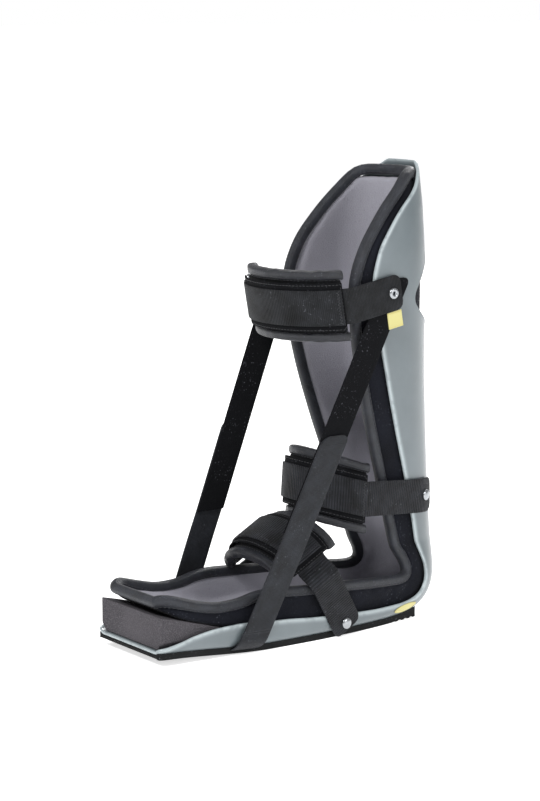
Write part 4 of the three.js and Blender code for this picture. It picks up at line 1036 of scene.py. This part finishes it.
def cuff_band(name, cuff, path, halves, thickness, middle=0, ripple=None):
    """A band through (s, o) pairs, with a half width for each pair. Ripple adds relief along it."""
    rings = []
    uv = []
    run = 0
    for i, (s, o) in enumerate(path):
        before = path[max(i - 1, 0)]
        after = path[min(i + 1, len(path) - 1)]
        ds = after[0] - before[0]
        do = after[1] - before[1]
        length = math.hypot(ds, do)
        if i:
            run += math.dist(path[i], path[i - 1])
        extra = ripple(run) if ripple else 0
        profile = band_profile(halves[i], thickness)
        lifts = [w + (extra if w > 0 else 0) for u, w in profile]
        rings.append([cuff_point(cuff, s - do / length * lift, o + ds / length * lift, middle + u)
                      for (u, w), lift in zip(profile, lifts)])
        uv.append([(u, run) for u, w in profile])
    return skin(name, rings, uv=uv)


def rounded_end(distance, depth, least):
    """Share of the width at a distance from a rounded end."""
    t = clamp(distance / depth, 0, 1)
    return mix(least, 1, math.sqrt(1 - (1 - t) ** 2))


def steps(start, end, pitch=2.5):
    return spread(start, end, max(int(abs(end - start) / pitch), 1))


# %% [markdown]
# ## Rivets
# Four domed rivets and two tubular eyelets hold the cuffs to the shell. Each is turned on a lathe:
# a profile spun round an axis. Its seat, from the cuff's own rule, says where that axis stands.

# %% Seats of the rivets
RIVET_SHANK = 2.4
RIVET_HEAD = 4.8
RIVET_FOOT = RIVET_HEAD * 0.9
SEAT_REACH = 3.2
seats = []
for label, cuff in CUFFS.items():
    for side, hand in ((1, "left"), (-1, "right")):
        s = side * cuff.rivet_s
        fore = cuff_point(cuff, s - side * SEAT_REACH, STRAP_IN, 0)
        fore -= cuff_point(cuff, s + side * SEAT_REACH, STRAP_IN, 0)
        up = cuff_point(cuff, s, STRAP_IN, SEAT_REACH) - cuff_point(cuff, s, STRAP_IN, -SEAT_REACH)
        axis = unit(np.cross(fore, up))
        seats.append(SimpleNamespace(
            name=f"{label}_rivet_{hand}", place=cuff_point(cuff, s, STRAP_IN, 0),
            axis=axis * math.copysign(1, axis[0] * side), eyelet=cuff.eyelet,
            inside=GAP + cuff.ease + SHELL_WALL + GAP))
print("rivets", len(seats))


def turned(name, profile, sides, seat):
    """Spins (radius, height) points round a seat's axis, as a closed body."""
    axis = Vector(seat.axis)
    beside = axis.orthogonal().normalized()
    above = axis.cross(beside)
    rings = []
    for t in turns_of(sides):
        out = beside * math.cos(t) + above * math.sin(t)
        rings.append([Vector(seat.place) + axis * h + out * r for r, h in profile])
    return skin(name, rings, closed=True)


def hole_cutter(seat, radius, low, high, name):
    return turned(name, [(0.02, low), (radius, low), (radius, high), (0.02, high)], 20, seat)


hole_cutters = [hole_cutter(s, RIVET_SHANK + GAP, -8, 8, f"hole_{i}") for i, s in enumerate(seats)]
seat_cutters = [hole_cutter(s, RIVET_FOOT + GAP, -s.inside - 7, GAP - s.inside, f"seat_{i}")
                for i, s in enumerate(seats)]

# %% Cutting the shell
cut(trough, vent_cutter, *hole_cutters, *seat_cutters)
dress(trough, shell_plastic, "shell_plastic", "shell")

# %% Turning the rivets and setting them
TOP = WEBBING + GAP
EYELET_TOP = [(RIVET_HEAD, 0.5), (4.3, 1.2), (3.4, 1.7), (2.5, 1.75), (1.8, 1.4), (1.3, 0.6)]
DOME_TOP = [(RIVET_HEAD, 0.35)]
DOME_TOP += [((RIVET_HEAD - 0.1) * math.cos(t), 0.35 + 1.65 * math.sin(t)) for t in spread(0.15, 1.5, 7)]
DOME_TOP += [(0.02, 2.0)]
for seat in seats:
    low = -seat.inside
    profile = [(1.3 if seat.eyelet else 0.02, low - 1), (RIVET_HEAD * 0.86, low - 1), (RIVET_FOOT, low - 0.8)]
    profile += [(RIVET_FOOT, low), (RIVET_SHANK, low), (RIVET_SHANK, TOP), (RIVET_HEAD, TOP)]
    profile += [(radius, TOP + rise) for radius, rise in (EYELET_TOP if seat.eyelet else DOME_TOP)]
    dress(turned("turned_" + seat.name, profile, 32, seat), bright_steel, "steel", seat.name)

# %% [markdown]
# ## Rubber sole
# The sole is a thin rubber plate that climbs a little way up the corner of the shell. Shallow
# cross grooves in its underside keep the splint from sliding, and a wider one lets the
# stirrup strap pass.

# %% The rubber sole
GROOVE_DEPTH = 0.9
GROOVE_PITCH = 8
GROOVE_HALF = 44


def sole_ring(place):
    station = station_at(place)
    climb = station.inward * (1 - math.cos(OUTSOLE_WRAP))
    height = min(climb, station.rim * 0.5)
    top = [section_point(station, -GAP, height, s) for s in both_ways((FLAT_END, 6), (1, 12))]
    wave = math.sin(station.y * 2 * math.pi / GROOVE_PITCH)
    groove = GROOVE_DEPTH * smooth(clamp(wave * 3, 0, 1))
    bottom = [(x, y, spring_at(place) + groove * smooth(clamp((GROOVE_HALF - abs(x)) / 3, 0, 1)))
              for x, y, z in reversed(top)]
    return top + bottom


sole_places = spread(0.0006, 1, 190)
sole_places += [p for p in spread(1, 1.6, 60)[1:] if station_at(p).z < BASE_Z + 2.6]
rubber_sole = skin("rubber_sole", [sole_ring(p) for p in sole_places])

# %% [markdown]
# ## Side straps and stirrup
# Two long straps with loop pile run from the shin rivet down to the sole. A smooth stirrup strap
# passes under the sole and grips them with its hooked ends. Rows are level, so a row needs only its
# height to know where its two edges are.

# %% The line of a side strap
STIRRUP_Y = FRONT_Y + 0.35 * SOLE_RUN
TAIL_Z = BASE_Z + 0.24 * SHELL_HEIGHT
HOOK_Z = BASE_Z + 0.435 * SHELL_HEIGHT
END_DEPTH = 7
shin = CUFFS["shin"]


def strap_line(ahead, side, lifted):
    top_y = shin.rivet_y - ahead * math.cos(shin.angle)
    top_z = shin.rivet_z + ahead * math.sin(shin.angle)
    slope = (top_y - STIRRUP_Y) / (top_z - BASE_Z)
    return SimpleNamespace(side=side, lifted=lifted, top_y=top_y, top_z=top_z, slope=slope,
                           foot=station_at(0.35).z + SOLE_CORNER,
                           half=SIDE_STRAP_WIDTH / 2 * math.hypot(1, slope))


def strap_point(line, z, u, out):
    rise = clamp((z - TAIL_Z) / (line.top_z - SIDE_STRAP_WIDTH - TAIL_Z), 0, 1)
    x = GAP + CALF_HALF + line.lifted * (WEBBING + GAP) * rise + out
    return (line.side * x, line.top_y - (line.top_z - z) * line.slope + u, z)


def strap_levels(top, bottom, least):
    """Heights from a rounded top end down, with the share of the width at each."""
    levels = [(top - d, rounded_end(d, END_DEPTH, least)) for d in (0, 0.4, 1, 2, 3.2, 4.6, 6)]
    return levels + [(z, 1) for z in steps(top - END_DEPTH, bottom, 3)]


LEFT = strap_line(0, 1, 0)
RIGHT = strap_line(34, -1, 3)
for line, side, seed in ((LEFT, "left", 11), (RIGHT, "right", 12)):
    levels = strap_levels(line.top_z + 12, TAIL_Z, 0.5)
    profiles = [(z, band_profile(line.half * share, WEBBING, 8)) for z, share in levels]
    strap = skin(f"side_strap_{side}_body",
                 [[strap_point(line, z, u, w + WEBBING / 2) for u, w in profile] for z, profile in profiles],
                 uv=[[(u, z) for u, w in profile] for z, profile in profiles])
    if side == "left":
        cut(strap, hole_cutters[0])
    dress(strap, loop_pile, "loop_pile", f"side_strap_{side}")
    face = [[strap_point(line, z, u * line.half * share * 0.93, WEBBING - 0.05) for u in spread(-1, 1, 4)]
            for z, share in levels if z > HOOK_Z - 8]
    grow_pile(f"side_pile_{side}", face, loop_pile, seed, 0.75)

# %% The stirrup strap
FLAT_BAND = band_profile(1, 0.12, 8)
HOOK_DROP = TAIL_Z - SIDE_STRAP_WIDTH / 2


def stirrup_side(line, z, u, w):
    lay = (WEBBING + GAP) * smooth(clamp((z - line.foot) / (HOOK_DROP - line.foot), 0, 1))
    return strap_point(line, z, u, lay + w)


def stirrup_under(share, u, w):
    station = changed(sole_station(STIRRUP_Y + u), half=SOLE_HALF)
    x, y, z = section_point(station, -(GAP + w), SOLE_CORNER + SHELL_WALL, share)
    slope = LEFT.slope if share > 0 else RIGHT.slope
    return (x, y + slope * (z - station.z), z)


def stirrup_body(name, grow):
    """The strap, or with grow a cutter that is a little larger. A row is (step, half width, rule)."""
    levels = strap_levels(HOOK_Z, mix(LEFT.foot, HOOK_DROP, 0.1), 0.42)
    shares = [*spread(1, CORNER_END, 3)[:-1], *spread(CORNER_END, FLAT_END, 14), 0]
    shares += [*spread(-FLAT_END, -CORNER_END, 14), *spread(-CORNER_END, -1, 3)[1:]]
    rows = [(3, LEFT.half * share, functools.partial(stirrup_side, LEFT, z)) for z, share in levels]
    rows += [(2, mix(RIGHT.half, LEFT.half, (share + 1) / 2), functools.partial(stirrup_under, share))
             for share in shares]
    rows += [(3, RIGHT.half * share, functools.partial(stirrup_side, RIGHT, z))
             for z, share in reversed(levels)]
    rings = []
    uv = []
    run = 0
    for step, half, rule in rows:
        run += step
        half += grow
        rings.append([rule(u * half, WEBBING / 2 + w / 0.12 * (WEBBING + 2 * grow)) for u, w in FLAT_BAND])
        uv.append([(u * half, run) for u, w in FLAT_BAND])
    return skin(name, rings, uv=uv)


dress(stirrup_body("stirrup_webbing", 0), smooth_webbing, "webbing", "stirrup_strap")
groove_cutter = stirrup_body("groove_cutter", GAP)
cut(rubber_sole, groove_cutter)
dress(rubber_sole, sole_rubber, "sole_rubber", "outsole")

# %% [markdown]
# ## Toe wedge
# A block of closed-cell foam under the toes. Its edges are crisp because it is cut, not moulded,
# so it gets only a narrow bevel. It follows the spring of the sole.

# %% The wedge
WEDGE_FRONT = FRONT_Y + 3
WEDGE_LENGTH = 112
WEDGE_HALF = 44
WEDGE_CORNER = 6


def wedge_floor(y):
    return sole_station(y).z + SHELL_WALL + GAP


def wedge_top(y):
    return wedge_floor(y) + mix(27, 3, clamp((y - WEDGE_FRONT) / WEDGE_LENGTH, 0, 1))


wedge_rings = []
for y in spread(WEDGE_FRONT, WEDGE_FRONT + WEDGE_LENGTH, 40):
    floor = wedge_floor(y)
    top = wedge_top(y)
    low = floor + min(WEDGE_CORNER, (top - floor) * 0.6)
    side = (low, mix(low, top, 0.5), top)
    across = spread(WEDGE_CORNER - WEDGE_HALF, WEDGE_HALF - WEDGE_CORNER, 8)
    ring = [(x, y, floor) for x in across] + [(WEDGE_HALF, y, z) for z in side]
    ring += [(-x, y, top) for x in across] + [(-WEDGE_HALF, y, z) for z in reversed(side)]
    wedge_rings.append(ring)
wedge = skin("foam_wedge", wedge_rings)
modify(wedge, "BEVEL", width=0.8 * MM, segments=2, limit_method="ANGLE", angle_limit=math.radians(40))
settle(wedge)
dress(wedge, wedge_foam, "wedge_foam", "toe_wedge")

# %% [markdown]
# ## Foam liner
# The liner is one sheet of foam covered in brushed cloth, 8 mm thick, that lines the trough and
# stands a little past its rim. It lies over the wedge and its nose curls up off it.

# %% Where the liner runs
LINER_OUT = SHELL_WALL + 1.3
LINER_IN = LINER_OUT + FOAM
LINER_TOP = 3 - 14 / LEG_RUN
LINER_RIM = 36
NOSE_START = 0.035
NOSE_END = 0.15
NOSE_CURL = 5
NOSE_WIDTH = 0.8


def liner_station(place):
    station = station_at(place)
    if place > 1:
        return changed(station, height=station.rim + station.proud)
    flat = 1 - clamp((place - NOSE_START) / (NOSE_END - NOSE_START), 0, 1)
    slope = 3 * NOSE_CURL * flat ** 2 / ((NOSE_END - NOSE_START) * SOLE_RUN)
    norm = math.hypot(1, slope)
    floor = max(wedge_top(station.y) + GAP, station.z + LINER_OUT) + NOSE_CURL * flat ** 3
    z = floor - LINER_OUT
    return changed(
        station, z=z, height=BASE_Z + LINER_RIM * read_table(LINER_RIMS, "rim", place) - z,
        in_y=slope / norm, in_z=1 / norm, half=station.half * mix(NOSE_WIDTH, 1, math.sqrt(1 - flat ** 2)))


# %% Blowing up the liner
THIN = 0.7
liner_rings = []
for place in run_of(NOSE_START - 0.006, (0.07, 8), (1, 74), (2, 30), (LINER_TOP, 90)):
    station = liner_station(place)
    liner_rings.append(trough_ring(station, LINER_OUT + THIN, LINER_IN - THIN, station.height + 2.0))
liner = skin("foam_liner", liner_rings, pairs=len(SIDES))
count = len(SIDES)
inner_points = [p for ring in liner_rings for p in ring[count + 4:2 * count + 2]]
outer_points = [p for ring in liner_rings for p in (*ring[:count + 2], *ring[2 * count + 4:])]
puff(liner, 3.2)
mark_inside(liner, inner_points, outer_points)
dress(liner, foam_cloth, "foam_cloth", "liner_foot", "liner_heel", "liner_leg")

# %% [markdown]
# ## The bound edge
# Tape is folded over the foam's edge and sewn through. Carrying a rounded-box section along the
# edge gives the fold, and the seams are real stitches that ride on both its flanks.

# %% The line of the binding
BINDING_RISE = 5.1
BINDING_HALF = 4.5


def liner_edge(place, side):
    station = liner_station(place)
    outer = np.array(section_point(station, LINER_OUT, station.height, side))
    inner = np.array(section_point(station, LINER_IN, station.height, side))
    return (outer + inner) / 2, outer - inner


places = run_of(NOSE_START, (0.07, 3), (1, 52), (2, 24), (LINER_TOP, 70))
loop = [liner_edge(p, 1) for p in reversed(places)]
loop += [liner_edge(NOSE_START, s) for s in spread(0.85, -0.85, 16)]
loop += [liner_edge(p, -1) for p in places]
loop += [liner_edge(LINER_TOP, s) for s in spread(-0.9, 0.9, 18)]
normals = [unit(np.cross(loop[(i + 1) % len(loop)][0] - centre, across))
           for i, (centre, across) in enumerate(loop)]
centres = []
for i, (centre, across) in enumerate(loop):
    bend = max(float(np.dot(normals[i - 1], normals[i])), -0.4)
    centres.append(centre + (normals[i - 1] + normals[i]) / (1 + bend) * BINDING_RISE)
centres = np.array(centres)
for _ in range(3):
    centres = (np.roll(centres, 1, 0) + 2 * centres + np.roll(centres, -1, 0)) / 4
sides = np.array([across for centre, across in loop])
binding = sweep("edge_binding", centres, sides, oval(BINDING_HALF, BINDING_HALF, 24, 2.7))
dress(binding, bound_edge, "bound_edge", "liner_binding")

# %% Stitches beside the binding's seam
SEAM_BESIDE = 4.42
SEAM_BELOW = 2.4
above_first = np.cross(centres[1] - centres[0], sides[0])
below = math.copysign(SEAM_BELOW, -np.dot(above_first, normals[0]))
axes = axes_along(centres, sides)
seams = [[centre + beside * side * SEAM_BESIDE + above * below for centre, beside, above in axes]
         for side in (1, -1)]
sew("binding_stitches", seams, grey_thread)

# %% [markdown]
# ## Cuffs
# Every cuff is the same set of layers: a padded band with a roll of tape along its top and
# bottom, a strap riveted to the shell, a patch of loop pile over it, and the strap's free end, which
# goes through a wire ring and folds back over the pile.

# %% The padded band, its rolls and its patch
PAD_HALF = 24.2
PAD_START = 6.2
ROLL_LEVEL = 26
PATCH_HALF = 20.5


def pad_of(name, cuff):
    """The padded band. It starts thinner than it ends."""
    path = [(s, FOAM / 2) for s in steps(cuff.right + 1, cuff.left - 1, 3)]
    halves = [PAD_HALF * rounded_end(min(s - cuff.right, cuff.left - s), 4, 0.8) for s, o in path]
    pad = cuff_band(f"{name}_cushion", cuff, path, halves, PAD_START)
    puff(pad, 2.6)
    dress(pad, pad_cloth, "foam_cloth", f"{name}_pad")


def roll_of(name, cuff, level, end, seed):
    """A roll of tape along the edge of a pad, with cut ends and a little waver."""
    section = oval(4.5, 4.0, 20, 3.4)

    def ring_at(s, out, up):
        return [cuff_point(cuff, s, FOAM / 2 + o * out, level + k * up) for o, k in section]

    places = steps(cuff.right, cuff.left)
    rings = []
    for s in places:
        waver = 0.18 * noise.noise(Vector((s * 0.12, seed, level)))
        rings.append(ring_at(s, 0.97 + waver, 0.97 - waver))
    for share, push in ((0.86, 0.35), (0.62, -0.5), (0.4, 0.1), (0.2, -0.5)):
        rings = [ring_at(cuff.right - push, share, share), *rings, ring_at(cuff.left + push, share, share)]
        places = [cuff.right, *places, cuff.left]
    uv = [[(i * 1.5, s) for i in range(len(section))] for s in places]
    dress(skin(f"{name}_roll_{end}", rings, uv=uv), rolled_tape, "bound_edge", f"{name}_binding_{end}")


def patch_of(name, cuff, seed):
    """The patch of loop pile over the pad."""
    path = [(s, FACING_IN + FACING / 2) for s in steps(cuff.right + 4, cuff.left - 4)]
    patch = cuff_band(f"{name}_patch", cuff, path, [PATCH_HALF] * len(path), FACING)
    dress(patch, loop_pile, "loop_pile", f"{name}_pad_facing")
    rows = [[cuff_point(cuff, s, FACING_IN + FACING - 0.05, k) for k in (-20, -10, 0, 10, 20)]
            for s, o in path]
    grow_pile(f"{name}_pile", rows, loop_pile, seed, 0.5)


# %% The straps and the wire ring
WIRE = 1.4
WIRE_BEND = 2.8
RING_HALF = STRAP_HALF + 1.6 + WIRE
TURN_RADIUS = WIRE + 1.5 * GAP + WEBBING / 2
RING_O = STRAP_MID + TURN_RADIUS


def strap_of(name, cuff, finish, node, start, bar, outer, end, hole, pitch=2.5, ripple=None):
    """A strap from its riveted end at start, round the ring's bar and back to end at height outer."""
    way = math.copysign(1, bar - start)
    path = [(s, STRAP_MID) for s in steps(start, start + 6 * way, 0.8)]
    path += [(s, STRAP_MID) for s in steps(start + 7 * way, bar - 8 * way, pitch)]
    path += [(bar + way * TURN_RADIUS * math.cos(t), RING_O + TURN_RADIUS * math.sin(t))
             for t in spread(-math.pi / 2, math.pi / 2, 14)]
    path += [(bar - way * 9 * t, mix(RING_O + TURN_RADIUS, outer, smooth(t)))
             for t in (0.2, 0.4, 0.6, 0.8, 1)]
    path += [(s, outer) for s in steps(bar - 10 * way, end, pitch)]
    halves = [STRAP_HALF * rounded_end(abs(s - start), END_DEPTH, 0.6) for s, o in path]
    strap = cuff_band(name, cuff, path, halves, WEBBING, ripple=ripple)
    cut(strap, hole)
    dress(strap, finish, "webbing", node)


def ring_of(name, cuff):
    """The wire ring, with rounded corners."""
    corners = [np.array((s, k)) for s, k in (
        (cuff.ring_front, RING_HALF), (cuff.ring_back, RING_HALF),
        (cuff.ring_back, -RING_HALF), (cuff.ring_front, -RING_HALF))]
    wire = []
    for i, corner in enumerate(corners):
        a = corner + unit(corners[i - 1] - corner) * WIRE_BEND
        b = corner + unit(corners[(i + 1) % 4] - corner) * WIRE_BEND
        wire += [mix(mix(a, corner, t), mix(corner, b, t), t) for t in spread(0, 1, 5)]
    centres = [cuff_point(cuff, s, RING_O, k) for s, k in wire]
    sides = [cuff_point(cuff, s, RING_O + 1, k) - centre for (s, k), centre in zip(wire, centres)]
    ring = sweep(f"{name}_wire_ring", centres, sides, oval(WIRE, WIRE, 12))
    dress(ring, bright_steel, "steel", f"{name}_ring")


# %% Seams along the rolls, round the patch, over the folded end and on the ring's strap
ROLL_SEAM = 22.4
PATCH_SEAM = 18.8
ZIGZAG_HALF = 13.6
BOX_HALF = 12
SEWN = STRAP_MID + WEBBING + GAP


def seams_of(name, cuff):
    def seam(label, runs, finish, pitch, stitch, **thread):
        sew(f"{name}_{label}", [[cuff_point(cuff, *p) for p in run] for run in runs], finish, pitch, stitch,
            **thread)

    seam("roll_stitches", [[(s, FOAM, k) for s in steps(cuff.right + 2, cuff.left - 2, 3)]
                           for k in (ROLL_SEAM, -ROLL_SEAM)], grey_thread, 3.2, 1.15, thread=0.26)
    top = FACING_IN + FACING + 0.05
    places = steps(cuff.right + 5.5, cuff.left - 5.5, 3)
    border = [(s, top, PATCH_SEAM) for s in places] + [(s, top, -PATCH_SEAM) for s in reversed(places)]
    seam("patch_stitches", [[*border, border[0]]], black_thread, 3.0, 1.2, thread=0.28)
    zigzag = [(cuff.fold_end - 2.2 - 2.0 * (i % 2), FOLD_IN + WEBBING + 0.05, k)
              for i, k in enumerate(spread(-ZIGZAG_HALF, ZIGZAG_HALF, 22))]
    seam("end_zigzag", [zigzag], grey_thread, 1.05, 0.62, thread=0.2)
    near = cuff.ring_back - 12
    far = cuff.ring_back - 18.5
    box = [(s, SEWN + WEBBING / 2 + 0.05, k * BOX_HALF)
           for s, k in ((near, 1), (near, -1), (far, -1), (far, 1), (near, 1), (far, -1))]
    seam("box_stitch", [box], black_thread, 2.6, 1.1)


# %% Building the cuffs


def coarse_ribs(run):
    """Raised cross ribs 2 mm apart, which start past the smooth end of the strap."""
    return 0.22 * abs(math.sin(run * math.pi / 2)) if run > 17 else 0


for index, (name, cuff) in enumerate(CUFFS.items()):
    webbing = cuff_webbing if name == "shin" else ribbed_webbing
    ripple = coarse_ribs if name == "instep" else None
    pad_of(name, cuff)
    for level, end in ((ROLL_LEVEL, "top"), (-ROLL_LEVEL, "bottom")):
        roll_of(name, cuff, level, end, index * 7 + level)
    patch_of(name, cuff, 20 + index)
    start = cuff.rivet_s + cuff.tail
    strap_of(f"{name}_webbing", cuff, webbing, f"{name}_strap", start, cuff.ring_front, FOLD_IN + WEBBING / 2,
             cuff.fold_end, hole_cutters[2 * index], 1.0 if ripple else 2.5, ripple)
    strap_of(f"{name}_ring_webbing", cuff, webbing, f"{name}_ring_strap", -start, cuff.ring_back, SEWN,
             cuff.ring_back - 20, hole_cutters[2 * index + 1])
    ring_of(name, cuff)
    seams_of(name, cuff)

# %% [markdown]
# ## Labels
# A small folded tag hangs from the shin strap and an oval sticker sits on the heel. Both are left
# bare, so their finish has to carry them: a satin face, and on the sticker a slightly darker rubbed border.

# %% The folded tag
TAG_HALF = 7
TAG_THICKNESS = 0.7
TAG_TOP = -STRAP_HALF - GAP
tag_path = [(s - 1, STRAP_IN + TAG_THICKNESS / 2) for s in steps(shin.rivet_s - 7.5, shin.rivet_s + 7.5, 1)]
tag = cuff_band("folded_tag", shin, tag_path, [TAG_HALF] * len(tag_path), TAG_THICKNESS,
                middle=TAG_TOP - TAG_HALF)
dress(tag, yellow_label, "yellow_label", "size_tag")
hem = [[cuff_point(shin, s - 1, STRAP_IN + TAG_THICKNESS + 0.05, TAG_TOP - k)
        for s in steps(shin.rivet_s - 6.5, shin.rivet_s + 6.5, 2)] for k in (1.2, 12.8)]
sew("tag_stitches", hem, yellow_thread, pitch=1.8, stitch=0.7, thread=0.16)

# %% The oval sticker
STICKER_REACH = 13.5
STICKER_RISE = 3.5
STICKER_TILT = 1.5
# Rows of (share of the outline, offset from the shell's face)
STICKER_ROWS = [(0.03, -0.72), (0.35, -0.72), (0.7, -0.72), (0.93, -0.7), (0.985, -0.6), (1.0, -0.45),
                (0.99, -0.3), (0.6, -0.3), (0.03, -0.3)]


def shell_side(y, z, offset):
    """A point on the shell's side near the heel."""
    if y <= FAN_Y:
        return (foot_x(y, z, offset), y, z)
    station = station_at(1 + (1 - math.atan2(FAN_Z - z, y - FAN_Y) / (math.pi / 2)))
    n = math.hypot(station.y - FAN_Y, station.z - FAN_Z) - math.hypot(y - FAN_Y, z - FAN_Z)
    return (wall_x(station, n, offset), y, z)


def sticker_ring(share, offset):
    ring = []
    for t in turns_of(48):
        along = math.cos(t) * share
        up = math.sin(t) * share
        ring.append(shell_side(HEEL_Y - 50 + along * STICKER_REACH,
                               BASE_Z + 8 + along * STICKER_TILT + up * STICKER_RISE, offset))
    return ring


sticker = skin("oval_sticker", [sticker_ring(*row) for row in STICKER_ROWS],
               edge=[[clamp((share - 0.8) * 5, 0, 1)] * 48 for share, offset in STICKER_ROWS])
dress(sticker, yellow_label, "yellow_label", "oval_label")

# %% Putting the cutters and patterns away
for helper in [vent_cutter, groove_cutter, one_loop, *hole_cutters, *seat_cutters]:
    bpy.data.objects.remove(helper, do_unlink=True)

# %% [markdown]
# ## Studio
# A pale floor, one broad key light from the front left, a softer fill and a strip behind for the rim
# of the plastic. The lens is long, so the splint keeps straight lines as in a catalogue picture.

# %% The floor
REACH = 40000
finish, shader = new_finish("pale floor", 0.9, Base_Color=(0.93, 0.93, 0.93, 1),
                            Emission_Color=(1, 1, 1, 1), Emission_Strength=0.64)
floor = place_object("studio_floor", new_mesh(
    "studio_floor", [(-REACH, -REACH, 0), (REACH, -REACH, 0), (REACH, REACH, 0), (-REACH, REACH, 0)],
    faces=[(0, 1, 2, 3)]))
floor.data.materials.append(finish)

# %% Lights, camera and sky
PHOTO_HEIGHT = 801
FOCAL_PIXELS = 2400
SENSOR = 36


def aim_at(item, place, target):
    item.location = place
    item.rotation_euler = (Vector(target) - Vector(place)).to_track_quat("-Z", "Y").to_euler()


for name, place, size, power in (("key", (0.9, -1.9, 2.2), 0.9, 58), ("fill", (2.4, 0.7, 1.1), 1.4, 20),
                                 ("rim", (-1.2, 1.9, 1.6), 1.0, 34)):
    lamp = bpy.data.lights.new(name, "AREA")
    lamp.shape = "DISK"
    lamp.size = size
    lamp.energy = power
    aim_at(place_object(name, lamp), place, (0, 0, 0.18))
world = bpy.data.worlds.new("studio")
world.use_nodes = True
sky = world.node_tree.nodes["Background"]
seen = add_node(world.node_tree, "ShaderNodeLightPath").outputs["Is Camera Ray"]
feed(sky.inputs["Color"], (1, 1, 1, 1))
feed(sky.inputs["Strength"], add_node(world.node_tree, "ShaderNodeMapRange", {
    "Value": seen, "To Min": 0.42, "To Max": 1.0}))
bpy.context.scene.world = world
bpy.context.scene.view_settings.view_transform = "Standard"
lens = bpy.data.cameras.new("photo")
lens.sensor_fit = "VERTICAL"
lens.sensor_height = SENSOR
lens.lens = FOCAL_PIXELS * SENSOR / PHOTO_HEIGHT
camera = place_object("photo", lens)
aim_at(camera, Vector((1591.4, -1165.6, 525.3)) * MM, Vector((-4.5, -6.14, 195.19)) * MM)
bpy.context.scene.camera = camera
